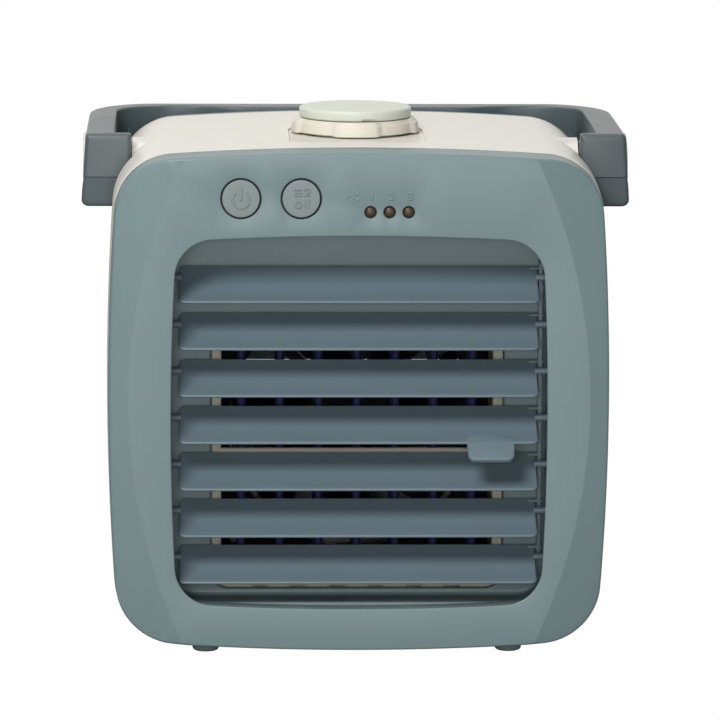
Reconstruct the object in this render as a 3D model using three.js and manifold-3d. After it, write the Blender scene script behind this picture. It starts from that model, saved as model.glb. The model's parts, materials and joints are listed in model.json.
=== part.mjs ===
// Desktop evaporative air cooler: a box-shaped fan with tilting louvres, a water
// tank over a wet filter cassette, and a carrying handle that folds back.
// Millimetres. +X is to the right of someone facing the louvres, +Y runs from the
// louvres to the back, +Z is up. Everything is drawn with y = 0 on the flat of the
// front bezel, inside a group that puts the origin at the bottom centre of the box,
// on the plane of the feet.
import * as THREE from "three";
import { mergeVertices } from "three/addons/utils/BufferGeometryUtils.js";
import Module from "manifold-3d";

const wasm = await Module();
wasm.setup();

// ---------------------------------------------------------------- driving sizes
const BODY_MIDDLE_Z = 86;
const SIDE_BOW_RADIUS = 950; // every side of the body bulges along this arc
const BODY_CORNER = 20;
const BEZEL = { halfWidth: 83.1, halfHeight: 83.5, depth: 14, plate: 2.6, draft: 0.5, chamfer: 1 };
const CREASE = { radius: 192, edgeInset: 6.4, slope: Math.tan(THREE.MathUtils.degToRad(14)) };
const CASING = { front: 14.3, back: 127, halfWidth: 83.7, halfHeight: 84, bulge: 1.1, wall: 2.4 };
const REAR = { front: 127.3, back: 139, plate: 2.6, wall: 2.4 };
const RECESS = { halfWidth: 62.5, halfHeight: 62.7, middleZ: 79.2, corner: 13, depth: 12.5, flare: 1.1 };
const LOUVRE = { count: 7, pitch: 15.8, topZ: 125.8, y: 17.9, halfLength: 60, front: 14, back: 5.4 };
const LOUVRE_TILT = THREE.MathUtils.degToRad(32); // below level, towards the front
const LOUVRE_PIN = 1.2;
const LINK = { arm: 4.6, pin: 0.9, thickness: 1.2, halfWidth: 1.7 };
const FRAME = { front: 12.8, panel: 25, back: 27, halfWidth: 63.4, halfHeight: 62.8, wall: 2.2 };
const OUTLET = { halfWidth: 49.2, low: 18.9, high: 108.9, corner: 6 };
const CASSETTE = { halfWidth: 49, low: 16.9, high: 112.2, front: 28, back: 62, post: 3.2, rail: 2.6 };
const SHEET = { count: 7, pitch: 13, thickness: 3.2 };
const DUCT = { halfWidth: 49.6, low: 16.3, high: 112.8, wall: 1.6, front: 27.4, back: 90 };
const FAN = { middleZ: 64.8, side: 92, front: 91, back: 116, bore: 43.5, hub: 17.5, holes: 41.25, blades: 7 };
const CAP = { y: 66, topZ: 170, lidRadius: 19.1, ringRadius: 20.5, lobe: 1.3, bore: 12.6 };
const DISH = { radius: 22.9, front: 29, floorZ: 169.2, corner: 5 }; // the shallow well round the cap
const HINGE = { y: 66, z: 157, faceX: 75.8, pocket: 18.4, boss: 10.4, pin: 2.5 };
const HANDLE = { outerX: 91.6, draft: 1.7, innerX: 82.2, topZ: 170, hubLow: 145, front: 52.5 };
const HUB = { plateBack: 56.6, radius: 9.5, webLow: 148, webHigh: 156 };
const CROSSBAR = { lowZ: 154, back: 155, front: 147, outerCurve: [22, 32], innerCurve: [20, 17] };
const COVER = { radius: 12.1, seat: 12.4, innerX: 91.1, outerX: 92.5 };
const BUTTON = { z: 154.5, radius: 6.2, hole: 6.85, proud: 0.7, flange: 7.85, stem: 1.8 };
const POWER_X = -39.4;
const MODE_X = -19.5;
const LEDS = { x: [3.4, 9.7, 16], z: 150, radius: 1.75, hole: 2.1 };
const FOOT = { x: 51, frontY: 19.2, backY: 118, radius: 4.5, lowZ: -1.1 };
const CASE_SCREW = { x: 66, lowZ: 20, highZ: 152 };
const BOARD = { left: -52, right: 26, low: 146.6, high: 163.6, front: 9.6, back: 11.2 };
const TRAY = { halfWidth: 52, front: 32, back: 86, low: 6.2, high: 14.2, wall: 1.6 };
const TANK = { halfWidth: 56, front: 31, back: 87, low: 116.4, high: 163.4, wall: 1.8, corner: 6 };
const TANK_MOUTH = 16.2;
const MOTOR = { front: 101.5, back: 110.5, stator: 13.6, bore: 5.8, bearing: 4.1, tube: 5.6, shaft: 1.5 };
const POST = { radius: 4, front: 106, back: 125.6 }; // behind each case screw
const PLAY = 0.15; // between a pin and its hole
const USB = { x: -50, z: 28, halfWidth: 4.5, halfHeight: 1.65, front: 127, back: 138.4 };
const TAB = { louvre: 3, left: 35.9, right: 52.1, reach: 8.2, top: 1.1, under: -0.6 };
const FORWARD_MOST = tilted([LOUVRE.front + TAB.reach, TAB.top], LOUVRE_TILT, 0).x;
const DEPTH_MIDDLE = (CROSSBAR.back + FORWARD_MOST) / 2;

// ---------------------------------------------------------------- solid helpers
function toSolid(geometry) {
  const bare = new THREE.BufferGeometry();
  const source = geometry.index ? geometry.toNonIndexed() : geometry;
  bare.setAttribute("position", source.getAttribute("position").clone());
  const merged = mergeVertices(bare, 1e-4);
  return new wasm.Manifold(
    new wasm.Mesh({
      numProp: 3,
      vertProperties: merged.attributes.position.array,
      triVerts: new Uint32Array(merged.index.array),
    }),
  );
}

function toGeometry(solid) {
  const mesh = solid.getMesh();
  const geometry = new THREE.BufferGeometry();
  geometry.setAttribute("position", new THREE.BufferAttribute(mesh.vertProperties, 3));
  geometry.setIndex(new THREE.BufferAttribute(mesh.triVerts, 1));
  geometry.computeVertexNormals();
  return geometry;
}

const join = (first, ...others) => others.reduce((sum, s) => sum.add(s), first);
const cut = (first, ...others) => others.reduce((sum, s) => sum.subtract(s), first);

// A box from its low corner to its high corner.
function box(low, high) {
  const size = high.map((h, k) => h - low[k]);
  const geometry = new THREE.BoxGeometry(...size);
  geometry.translate(...low.map((l, k) => l + size[k] / 2));
  return toSolid(geometry);
}

// A cylinder or cone along one axis ("x", "y" or "z"), from one end to the other.
function rod(axis, centre, from, to, radius, endRadius = radius, sides = 16) {
  const geometry = new THREE.CylinderGeometry(endRadius, radius, to - from, sides);
  geometry.translate(0, (from + to) / 2, 0);
  if (axis === "x") geometry.rotateZ(-Math.PI / 2);
  if (axis === "z") geometry.rotateX(Math.PI / 2);
  const [a, b] = centre;
  geometry.translate(...{ x: [0, a, b], y: [a, 0, b], z: [a, b, 0] }[axis]);
  return toSolid(geometry);
}

// An outline in the x-z plane, extruded along y.
function prismY(points, from, to) {
  const shape = new THREE.Shape(points);
  const geometry = new THREE.ExtrudeGeometry(shape, { depth: to - from, bevelEnabled: false });
  geometry.rotateX(Math.PI / 2);
  geometry.scale(1, -1, 1);
  geometry.translate(0, from, 0);
  return toSolid(flipped(geometry));
}

// An outline in the y-z plane, extruded along x.
function prismX(points, from, to) {
  const shape = new THREE.Shape(points);
  const geometry = new THREE.ExtrudeGeometry(shape, { depth: to - from, bevelEnabled: false });
  geometry.rotateY(Math.PI / 2);
  geometry.rotateX(Math.PI / 2);
  geometry.translate(from, 0, 0);
  return toSolid(geometry);
}

// An outline in the x-y plane, extruded along z.
function prismZ(points, from, to) {
  const shape = new THREE.Shape(points);
  const geometry = new THREE.ExtrudeGeometry(shape, { depth: to - from, bevelEnabled: false });
  geometry.translate(0, 0, from);
  return toSolid(geometry);
}

// Turns every triangle over, for a geometry that a mirroring scale has turned inside out.
function flipped(geometry) {
  const flat = geometry.index ? geometry.toNonIndexed() : geometry;
  const p = flat.getAttribute("position").array;
  for (let i = 0; i < p.length; i += 9)
    for (let k = 0; k < 3; k++) [p[i + 3 + k], p[i + 6 + k]] = [p[i + 6 + k], p[i + 3 + k]];
  return flat;
}

// A solid through rings of points; each ring is [x, y, z] triples, all of one length.
function loft(rings, capPoints = rings[0].map(([x, , z]) => new THREE.Vector2(x, z))) {
  const n = rings[0].length;
  const index = [];
  for (let r = 0; r + 1 < rings.length; r++)
    for (let i = 0; i < n; i++) {
      const [a, b] = [r * n + i, r * n + ((i + 1) % n)];
      index.push(a, b, b + n, a, b + n, a + n);
    }
  const last = (rings.length - 1) * n;
  const clockwise = THREE.ShapeUtils.isClockWise(capPoints);
  for (const triangle of THREE.ShapeUtils.triangulateShape(capPoints, [])) {
    const [a, b, c] = clockwise ? triangle : triangle.reverse();
    index.push(a, b, c, last + c, last + b, last + a);
  }
  const geometry = new THREE.BufferGeometry();
  geometry.setAttribute("position", new THREE.Float32BufferAttribute(rings.flat(2), 3));
  geometry.setIndex(index);
  const solid = toSolid(geometry);
  return solid.volume() > 0 ? solid : toSolid(flipped(geometry));
}

// ---------------------------------------------------------------- outlines
// A rectangle with rounded corners whose four sides bulge along one large arc.
function bowedOutline(halfWidth, halfHeight, corner, bow, middleZ, sideSteps = 6, cornerSteps = 5) {
  // The corner's circle touches the right-hand arc and the top arc from inside.
  const [cx, cz] = [halfWidth - bow, halfHeight - bow]; // centres of those two arcs
  const reach = bow - corner;
  const [mx, mz] = [cx / 2, cz / 2];
  const half = Math.hypot(cx, cz) / 2;
  const lift = Math.sqrt(reach * reach - half * half);
  const [ux, uz] = [cz / (2 * half), cx / (2 * half)].map(Math.abs);
  const centre = new THREE.Vector2(mx + lift * ux, mz + lift * uz);
  const sideAngle = Math.atan2(centre.y, centre.x - cx);
  const topAngle = Math.atan2(centre.y - cz, centre.x);
  const quarter = [];
  for (let i = 0; i <= sideSteps / 2; i++) {
    const a = (sideAngle * i) / (sideSteps / 2);
    quarter.push([cx + bow * Math.cos(a), bow * Math.sin(a)]);
  }
  for (let i = 1; i <= cornerSteps; i++) {
    const a = sideAngle + ((topAngle - sideAngle) * i) / cornerSteps;
    quarter.push([centre.x + corner * Math.cos(a), centre.y + corner * Math.sin(a)]);
  }
  for (let i = 1; i < sideSteps / 2; i++) {
    const a = topAngle + ((Math.PI / 2 - topAngle) * i) / (sideSteps / 2);
    quarter.push([bow * Math.cos(a), cz + bow * Math.sin(a)]);
  }
  const top = [0, halfHeight];
  const right = [...quarter, top];
  const left = quarter.map(([x, z]) => [-x, z]).reverse();
  const upper = [...right, ...left];
  const lower = upper.slice(1, -1).map(([x, z]) => [x, -z]).reverse();
  return [...upper, ...lower].map(([x, z]) => new THREE.Vector2(x, z + middleZ));
}

// A rounded rectangle, from its low corner to its high corner.
function roundedRect(lowX, lowZ, highX, highZ, corner, steps = 5) {
  const points = [];
  const centres = [
    [highX - corner, highZ - corner],
    [lowX + corner, highZ - corner],
    [lowX + corner, lowZ + corner],
    [highX - corner, lowZ + corner],
  ];
  centres.forEach(([x, z], quarter) => {
    for (let i = 0; i <= steps; i++) {
      const a = ((quarter + i / steps) * Math.PI) / 2;
      points.push(new THREE.Vector2(x + corner * Math.cos(a), z + corner * Math.sin(a)));
    }
  });
  return points;
}

const atY = (points, y) => points.map((p) => [p.x, y, p.y]);
const bodyOutline = (grow, growTop = grow) =>
  bowedOutline(
    BEZEL.halfWidth + grow,
    BEZEL.halfHeight + growTop,
    BODY_CORNER + Math.min(grow, growTop),
    SIDE_BOW_RADIUS,
    BODY_MIDDLE_Z,
  );

// ---------------------------------------------------------------- materials
const material = (color, roughness, metalness = 0) =>
  new THREE.MeshStandardMaterial({ color, roughness, metalness });
const FINISH = {
  blueGrey: material(0x82979a, 0.5),
  louvre: material(0x6f8490, 0.45),
  handle: material(0x6c7a7b, 0.5),
  button: material(0x8d9696, 0.5),
  cream: material(0xe4e1d8, 0.4),
  ivory: material(0xece6d8, 0.4),
  mint: material(0xd8dbcf, 0.35),
  filterFrame: material(0xc3c1b2, 0.5),
  filterSheet: material(0x30345c, 0.9),
  black: material(0x141414, 0.5),
  rubber: material(0x66787a, 0.8),
  board: material(0x1f5a3a, 0.6),
  steel: material(0xb5b5b5, 0.3, 1),
  copper: material(0xb0693c, 0.4, 1),
  ledLens: material(0x4c4238, 0.25),
  tank: material(0xdfe2e0, 0.3),
  rubberRing: material(0x2a2a2a, 0.7),
};

// ---------------------------------------------------------------- front bezel
// The wedge that bevels one side: it starts at an arc-shaped crease and falls back outwards.
function bevelWedge(side, shift) {
  const reach = 30;
  const rings = [];
  const steps = 14;
  const span = BEZEL.halfHeight + 3;
  for (let i = 0; i <= steps; i++) {
    const z = -span + (2 * span * i) / steps;
    const bend = CREASE.radius - Math.sqrt(CREASE.radius ** 2 - z * z);
    const x = BEZEL.halfWidth - CREASE.edgeInset - bend;
    const ring = [
      [x, shift],
      [x + reach, shift + reach * CREASE.slope],
      [x + reach, shift - 2],
      [x, shift - 2],
    ];
    rings.push(ring.map(([px, py]) => [side * px, py, z + BODY_MIDDLE_Z]));
  }
  return loft(rings, rings[0].map(([x, y]) => new THREE.Vector2(x, y)));
}

function recessOutline(grow, cornerGrow = 0) {
  const { halfWidth, halfHeight, corner, middleZ } = RECESS;
  return bowedOutline(halfWidth + grow, halfHeight + grow, corner + cornerGrow, SIDE_BOW_RADIUS, middleZ);
}

function frontBezel() {
  const { depth, plate, draft, chamfer } = BEZEL;
  const outside = loft([
    atY(bodyOutline(-chamfer), 0),
    atY(bodyOutline(0), chamfer),
    atY(bodyOutline(draft), depth),
  ]);
  const hollow = loft([atY(bodyOutline(-2), plate), atY(bodyOutline(draft - 2), depth + 1)]);
  const tray = cut(
    cut(outside, bevelWedge(1, 0), bevelWedge(-1, 0)),
    cut(hollow, bevelWedge(1, plate), bevelWedge(-1, plate)),
  );
  const { depth: recessDepth, flare } = RECESS;
  const wall = loft([
    atY(recessOutline(2), plate - 0.5),
    atY(recessOutline(flare + 2, -2), recessDepth),
  ]);
  const opening = loft([
    atY(recessOutline(-0.2), -1),
    atY(recessOutline(flare + 0.1, -4), recessDepth + 1),
  ]);
  const drill = (x, z, radius, sides) => rod("y", [x, z], -1, plate + 1.4, radius, radius, sides);
  const buttonHoles = [POWER_X, MODE_X].map((x) => drill(x, BUTTON.z, BUTTON.hole, 24));
  const ledHoles = LEDS.x.map((x) => drill(x, LEDS.z, LEDS.hole, 16));
  return cut(join(tray, wall), opening, ...buttonHoles, ...ledHoles);
}

function button(x) {
  const { z, radius, proud, flange, stem } = BUTTON;
  const turn = (y, r, y2, r2, sides = 32) => rod("y", [x, z], y, y2, r, r2, sides);
  return join(
    turn(-proud, radius - 0.6, 0.1, radius),
    turn(0.1, radius, 3.2, radius),
    turn(3.1, flange, 4.2, flange),
    turn(4.1, stem, 5, stem, 16),
  );
}

function tactSwitch(x) {
  const body = box([x - 3, 6.6, BUTTON.z - 3], [x + 3, 9.4, BUTTON.z + 3]);
  return join(body, rod("y", [x, BUTTON.z], 5.9, 6.8, 1.7, 1.7, 16));
}

function ledLens(x) {
  const centre = [x, LEDS.z];
  return join(
    rod("y", centre, 0.15, 0.6, LEDS.radius - 0.45, LEDS.radius, 12),
    rod("y", centre, 0.6, 8.1, LEDS.radius, LEDS.radius, 12),
    rod("y", centre, 2.9, 3.8, 2.7, 2.7, 12),
  );
}

function controlBoard() {
  const { left, right, low, high, front, back } = BOARD;
  const board = box([left, front, low], [right, back, high]);
  const chip = (x) => box([x - 1.4, front - 1.1, LEDS.z - 1], [x + 1.4, front + 0.2, LEDS.z + 1]);
  const connector = box([-8, back - 0.2, 149], [8, back + 4.3, 156]);
  return join(board, connector, ...LEDS.x.map(chip));
}

// ---------------------------------------------------------------- louvres
// Across a louvre: u runs from the pivot to the front edge, v is up from the chord.
function louvreSection() {
  const { front, back } = LOUVRE;
  const steps = 5;
  const sag = 1.7; // how far the middle of the slat hangs below its chord
  const top = [];
  const under = [];
  for (let i = 0; i <= steps; i++) {
    const s = i / steps;
    const u = -back + (front + back) * s;
    const dip = 4 * sag * s * (1 - s);
    const half = 0.45 + 0.4 * Math.sin(Math.PI * Math.min(1, s + 0.12));
    top.push([u, half - dip + 0.55]);
    under.unshift([u, -half - dip + 0.55]);
  }
  return [...top, ...under];
}

// Turns a louvre's (u, v) into (y, z) about its pivot.
function tilted([u, v], tilt, pivotZ) {
  const [c, s] = [Math.cos(tilt), Math.sin(tilt)];
  return new THREE.Vector2(LOUVRE.y - u * c - v * s, pivotZ - u * s + v * c);
}

function louvre(index) {
  const pivotZ = LOUVRE.topZ - index * LOUVRE.pitch;
  const { halfLength, front } = LOUVRE;
  const place = (uv) => tilted(uv, LOUVRE_TILT, pivotZ);
  const outline = louvreSection().map(place);
  const slat = prismX(outline, -halfLength, halfLength);
  const pins = rod("x", [LOUVRE.y, pivotZ], -halfLength - 5, halfLength + 5, LOUVRE_PIN, LOUVRE_PIN, 12);
  const middle = box([-halfLength + 1, 0, pivotZ - 8], [halfLength - 1, 30, pivotZ + 8]);
  const link = place([-LINK.arm, 0]);
  const linkPin = rod("x", [link.x, link.y], halfLength - 2.5, halfLength + 2.2, LINK.pin, LINK.pin, 12);
  const blade = join(slat, cut(pins, middle), linkPin);
  if (index !== TAB.louvre) return blade;
  const tab = [
    [front - 5, -0.75],
    [front + TAB.reach, TAB.under],
    [front + TAB.reach, TAB.top],
    [front - 5, 0.75],
  ].map(place);
  return join(blade, prismX(tab, TAB.left, TAB.right));
}

function louvreLink() {
  const pins = [];
  for (let i = 0; i < LOUVRE.count; i++)
    pins.push(tilted([-LINK.arm, 0], LOUVRE_TILT, LOUVRE.topZ - i * LOUVRE.pitch));
  const [x0, x1] = [LOUVRE.halfLength + 0.5, LOUVRE.halfLength + 0.5 + LINK.thickness];
  const y = pins[0].x;
  const end = 3;
  const hole = LINK.pin + PLAY;
  const bar = box(
    [x0, y - LINK.halfWidth, pins[LOUVRE.count - 1].y - end],
    [x1, y + LINK.halfWidth, pins[0].y + end],
  );
  return cut(bar, ...pins.map((p) => rod("x", [p.x, p.y], x0 - 1, x1 + 1, hole, hole, 12)));
}

function louvreFrame() {
  const { front, panel, back, halfWidth, halfHeight, wall } = FRAME;
  const low = RECESS.middleZ - halfHeight;
  const high = RECESS.middleZ + halfHeight;
  const corner = 9.5;
  const outer = roundedRect(-halfWidth - wall, low - wall, halfWidth + wall, high + wall, corner + wall);
  const inner = roundedRect(-halfWidth, low, halfWidth, high, corner);
  const outlet = roundedRect(-OUTLET.halfWidth, OUTLET.low, OUTLET.halfWidth, OUTLET.high, OUTLET.corner);
  const hole = LOUVRE_PIN + PLAY;
  const holes = [];
  for (let i = 0; i < LOUVRE.count; i++)
    holes.push(rod("x", [LOUVRE.y, LOUVRE.topZ - i * LOUVRE.pitch], -80, 80, hole, hole, 12));
  const tray = cut(prismY(outer, front, back), prismY(inner, front - 1, panel));
  return cut(tray, prismY(outlet, panel - 1, back + 1), ...holes);
}

// ---------------------------------------------------------------- filter cassette
function filterFrame() {
  const { halfWidth, low, high, front, back, post, rail } = CASSETTE;
  const shell = cut(
    box([-halfWidth, front, low], [halfWidth, back, high]),
    box([-halfWidth + post, front - 1, low + rail], [halfWidth - post, back + 1, high - rail]),
  );
  const bar = (y, z0, z1) => box([-halfWidth + 1, y, z0], [halfWidth - 1, y + 2.4, z1]);
  const bars = [front, back - 2.4].flatMap((y) => [bar(y, 63.8, 66.3), bar(y, low + 1, 21)]);
  const notches = [];
  for (let i = 0; i < SHEET.count - 1; i++) {
    const x = (i - (SHEET.count - 2) / 2) * SHEET.pitch;
    notches.push(box([x - 2.5, front - 1, low + 0.8], [x + 2.5, front + 3, 22]));
  }
  return cut(join(shell, ...bars), ...notches);
}

function filterSheet(index) {
  const x = (index - (SHEET.count - 1) / 2) * SHEET.pitch;
  const { low, high, front, back, rail } = CASSETTE;
  const half = SHEET.thickness / 2;
  return box([x - half, front + 2.7, low + rail + 0.3], [x + half, back - 2.7, high - rail - 0.3]);
}

function airDuct() {
  const { halfWidth, low, high, wall, front, back } = DUCT;
  const tube = cut(
    box([-halfWidth - wall, front, low - wall], [halfWidth + wall, back - 2, high + wall]),
    box([-halfWidth, front - 1, low], [halfWidth, back, high]),
  );
  const half = FAN.side / 2 + 6;
  const plate = box([-half, back - 2.2, FAN.middleZ - half], [half, back, FAN.middleZ + half]);
  const bore = rod("y", [0, FAN.middleZ], back - 3, back + 1, FAN.bore, FAN.bore, 28);
  const screws = fanScrewPlaces().map(([x, z]) => rod("y", [x, z], back - 3, back + 1, 2.05, 2.05, 12));
  const drains = [-2, -1, 0, 1, 2].map((k) => box([k * 16 - 5, 36, low - 3], [k * 16 + 5, 56, low + 1]));
  return cut(join(tube, plate), bore, ...screws, ...drains);
}

function dripTray() {
  const { halfWidth, front, back, low, high, wall } = TRAY;
  const outer = box([-halfWidth, front, low], [halfWidth, back, high]);
  const inner = box([wall - halfWidth, front + wall, low + wall], [halfWidth - wall, back - wall, high + 1]);
  return cut(outer, inner);
}

// ---------------------------------------------------------------- fan
function fanScrewPlaces() {
  const d = FAN.holes;
  return [[-d, FAN.middleZ - d], [d, FAN.middleZ - d], [-d, FAN.middleZ + d], [d, FAN.middleZ + d]];
}

function fanHousing() {
  const { middleZ, side, front, back, bore } = FAN;
  const half = side / 2;
  const block = prismY(roundedRect(-half, middleZ - half, half, middleZ + half, 4, 3), front, back);
  const tunnel = rod("y", [0, middleZ], front - 1, back + 1, bore, bore, 32);
  const strutFront = back - 3.2;
  const struts = [0, 1, 2, 3].map((k) => {
    const a = Math.PI / 4 + (k * Math.PI) / 2;
    const [ux, uz] = [Math.cos(a), Math.sin(a)];
    const corner = (r, w) => new THREE.Vector2(ux * r - uz * w, middleZ + uz * r + ux * w);
    const outline = [corner(15, -2), corner(bore + 2, -2), corner(bore + 2, 2), corner(15, 2)];
    return prismY(outline, strutFront, back - 0.4);
  });
  const motorPlate = rod("y", [0, middleZ], strutFront, back - 0.4, 19, 19, 24);
  const bearingTube = cut(
    rod("y", [0, middleZ], 101, strutFront + 0.5, MOTOR.tube, MOTOR.tube, 20),
    rod("y", [0, middleZ], 100, strutFront - 0.5, MOTOR.bearing + 0.2, MOTOR.bearing + 0.2, 20),
  );
  const holes = fanScrewPlaces().map(([x, z]) => rod("y", [x, z], front - 1, back + 1, 2.2, 2.2, 12));
  const pockets = fanScrewPlaces().map(([x, z]) => {
    const [sx, sz] = [Math.sign(x), Math.sign(z - middleZ)];
    const xs = [x - sx * 3.4, x + sx * 8].sort((a, b) => a - b);
    const zs = [z - sz * 3.4, z + sz * 8].sort((a, b) => a - b);
    return box([xs[0], front + 4, zs[0]], [xs[1], back - 4, zs[1]]);
  });
  return cut(join(cut(block, tunnel, ...pockets), motorPlate, bearingTube, ...struts), ...holes);
}

// One fan blade: flat sections at rising radius, each less steep than the last.
const BLADE_SECTION = [[-0.5, -0.5], [0, -0.9], [0.5, -0.5], [0.5, 0.3], [0, 0.5], [-0.5, 0.3]];
function fanBlade(turn) {
  const rings = [];
  const steps = 4;
  for (let i = 0; i <= steps; i++) {
    const s = i / steps;
    const radius = FAN.hub - 1.5 + (FAN.bore - 1.3 - FAN.hub + 1.5) * s;
    const pitch = THREE.MathUtils.degToRad(48 - 20 * s);
    const chord = 17 + 9 * s;
    const ring = [];
    for (const [u, v] of BLADE_SECTION) {
      const along = u * chord;
      const rake = 0.35 * s; // the tips sweep ahead of the roots
      const across = along * Math.cos(pitch) - v * 1.6 * Math.sin(pitch);
      const y = 103.5 + along * Math.sin(pitch) + v * 1.6 * Math.cos(pitch);
      const a = turn + rake + across / radius;
      ring.push([radius * Math.cos(a), y, FAN.middleZ + radius * Math.sin(a)]);
    }
    rings.push(ring);
  }
  return loft(rings, BLADE_SECTION.map(([u, v]) => new THREE.Vector2(u, v)));
}

function fanRotor() {
  const { hub, blades: count } = FAN;
  const turn = (from, to, r, r2 = r) => rod("y", [0, FAN.middleZ], from, to, r, r2, 28);
  const outside = join(turn(94, 95.5, hub - 1.5, hub), turn(95.5, 111.8, hub));
  const shaftHole = rod("y", [0, FAN.middleZ], 95, 98, MOTOR.shaft + 0.1, MOTOR.shaft + 0.1, 16);
  const cup = cut(outside, turn(97, 113, hub - 1.5), shaftHole);
  const blades = [];
  for (let i = 0; i < count; i++) blades.push(fanBlade((i * 2 * Math.PI) / count));
  return join(cup, ...blades);
}

// A sleeve on the fan's axis.
function sleeve(from, to, outer, inner, sides) {
  const centre = [0, FAN.middleZ];
  const outside = rod("y", centre, from, to, outer, outer, sides);
  return cut(outside, rod("y", centre, from - 1, to + 1, inner, inner, sides));
}

function fanStator() {
  const { front, back, stator, bore } = MOTOR;
  const core = sleeve(front, back, stator, bore, 24);
  const slotRadius = 10.4;
  const slots = [0, 1, 2, 3].map((k) => {
    const a = (k * Math.PI) / 2 + Math.PI / 4;
    const centre = [slotRadius * Math.cos(a), FAN.middleZ + slotRadius * Math.sin(a)];
    return rod("y", centre, front - 1.5, back + 1.5, 2.6, 2.6, 12);
  });
  return cut(core, ...slots);
}

function fanScrew([x, z]) {
  return join(rod("y", [x, z], 88.6, 116.5, 1.9, 1.9, 12), rod("y", [x, z], 116.3, 118.4, 3.6, 3.4, 16));
}

// ---------------------------------------------------------------- casing
function casingOutline(share, grow) {
  const bulge = CASING.bulge * share;
  const top = CASING.halfHeight - BEZEL.halfHeight;
  return bodyOutline(CASING.halfWidth - BEZEL.halfWidth + bulge + grow, top + bulge * 0.25 + grow);
}

const mirrored = (make) => [make(1), make(-1)];
const sorted = (a, b) => [Math.min(a, b), Math.max(a, b)];

function casingBody() {
  const { front, back, wall } = CASING;
  const stations = [0, 0.3, 0.62, 1];
  const swell = [0, 0.9, 0.8, 0];
  const rings = (grow, overrun) =>
    stations.map((s, i) => {
      const y = front + (back - front) * s;
      const past = i === 0 ? -overrun : i === stations.length - 1 ? overrun : 0;
      return atY(casingOutline(swell[i], grow), y + past);
    });
  return { outer: loft(rings(0, 0)), inner: loft(rings(-wall, 1)) };
}

function bodyShell() {
  const { outer, inner } = casingBody();
  const hinge = [HINGE.y, HINGE.z];
  const cups = mirrored((side) => {
    const [a, b] = sorted(side * (HINGE.faceX - 3), side * 95);
    return rod("x", hinge, a, b, HINGE.pocket + 2, HINGE.pocket + 2, 40).intersect(outer);
  });
  const bosses = mirrored((side) => {
    const [a, b] = sorted(side * 58, side * HINGE.faceX);
    return rod("x", hinge, a, b, HINGE.boss, HINGE.boss, 28);
  });
  const pockets = mirrored((side) => {
    const [a, b] = sorted(side * HINGE.faceX, side * 100);
    return rod("x", hinge, a, b, HINGE.pocket, HINGE.pocket, 28);
  });
  const pinHoles = mirrored((side) => {
    const [a, b] = sorted(side * 50, side * 100);
    return rod("x", hinge, a, b, HINGE.pin + PLAY, HINGE.pin + PLAY, 20);
  });
  const neck = [0, CAP.y];
  const neckPad = rod("z", neck, CAP.topZ - 4.4, CAP.topZ - 1, 27, 27, 28);
  const dishRound = rod("z", neck, DISH.floorZ, CAP.topZ + 5, DISH.radius, DISH.radius, 28);
  const dishFront = roundedRect(-DISH.radius, DISH.front, DISH.radius, CAP.y, DISH.corner, 4);
  const dish = join(dishRound, prismZ(dishFront, DISH.floorZ, CAP.topZ + 5));
  const neckHole = rod("z", neck, CAP.topZ - 10, CAP.topZ + 5, 18.5, 18.5, 24);
  const screwPosts = screwPlaces().map(([x, z]) => screwPost(x, z).intersect(outer));
  const screwHoles = screwPlaces().map(([x, z]) => rod("y", [x, z], 105, 140, 1.65, 1.65, 12));
  const footHoles = footPlaces().map(([x, y]) => rod("z", [x, y], -5, 12, 1.85, 1.85, 12));
  const shell = join(cut(outer, inner), neckPad, ...cups, ...bosses, ...screwPosts);
  return cut(shell, ...pockets, ...pinHoles, dish, neckHole, ...screwHoles, ...footHoles);
}

function screwPlaces() {
  const { x, lowZ, highZ } = CASE_SCREW;
  return [[-x, lowZ], [x, lowZ], [-x, highZ], [x, highZ]];
}

// A post for one case screw, webbed to the nearer side wall.
function screwPost(x, z) {
  const { radius, front, back } = POST;
  const [a, b] = sorted(x, Math.sign(x) * CASING.halfWidth);
  return join(rod("y", [x, z], front, back, radius, radius, 16), box([a, front, z - 1], [b, back, z + 1]));
}

function rearCover() {
  const { front, back, plate, wall } = REAR;
  const outline = (grow) => bodyOutline(grow - 0.3, grow + 0.2);
  const outside = loft([
    atY(outline(0), front),
    atY(outline(-0.4), back - 4),
    atY(outline(-1.2), back - 1.2),
    atY(outline(-3), back),
  ]);
  const inside = loft([atY(outline(-wall), front - 1), atY(outline(-wall - 0.4), back - plate)]);
  const slots = [];
  for (let i = 0; i < 10; i++) {
    const z = FAN.middleZ + (i - 4.5) * 8.6;
    const half = Math.sqrt(47 * 47 - (z - FAN.middleZ) ** 2);
    for (const side of [1, -1]) {
      const [a, b] = sorted(side * 2, side * half);
      slots.push(prismY(roundedRect(a, z - 2.2, b, z + 2.2, 2, 1), back - 5, back + 1));
    }
  }
  const along = (from, to, radius, sides) =>
    screwPlaces().map(([x, z]) => rod("y", [x, z], from, to, radius, radius, sides));
  const shanks = along(front - 3, back + 1, 1.9, 12);
  const heads = along(back - 3, back + 1, 3.8, 16);
  const shell = join(cut(outside, inside), ...along(front - 1.4, back - 1, 4.8, 16));
  return cut(shell, ...slots, ...shanks, ...heads, prismY(usbOutline(0.45, 1.9), back - 5, back + 1));
}

function caseScrew([x, z]) {
  const seat = REAR.back - 3;
  const shank = rod("y", [x, z], 110, seat + 0.3, 1.5, 1.5, 12);
  return join(shank, rod("y", [x, z], seat + 0.1, seat + 1.7, 3.4, 3.2, 16));
}

function footPlaces() {
  const { x, frontY, backY } = FOOT;
  return [[-x, frontY], [x, frontY], [-x, backY], [x, backY]];
}

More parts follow.
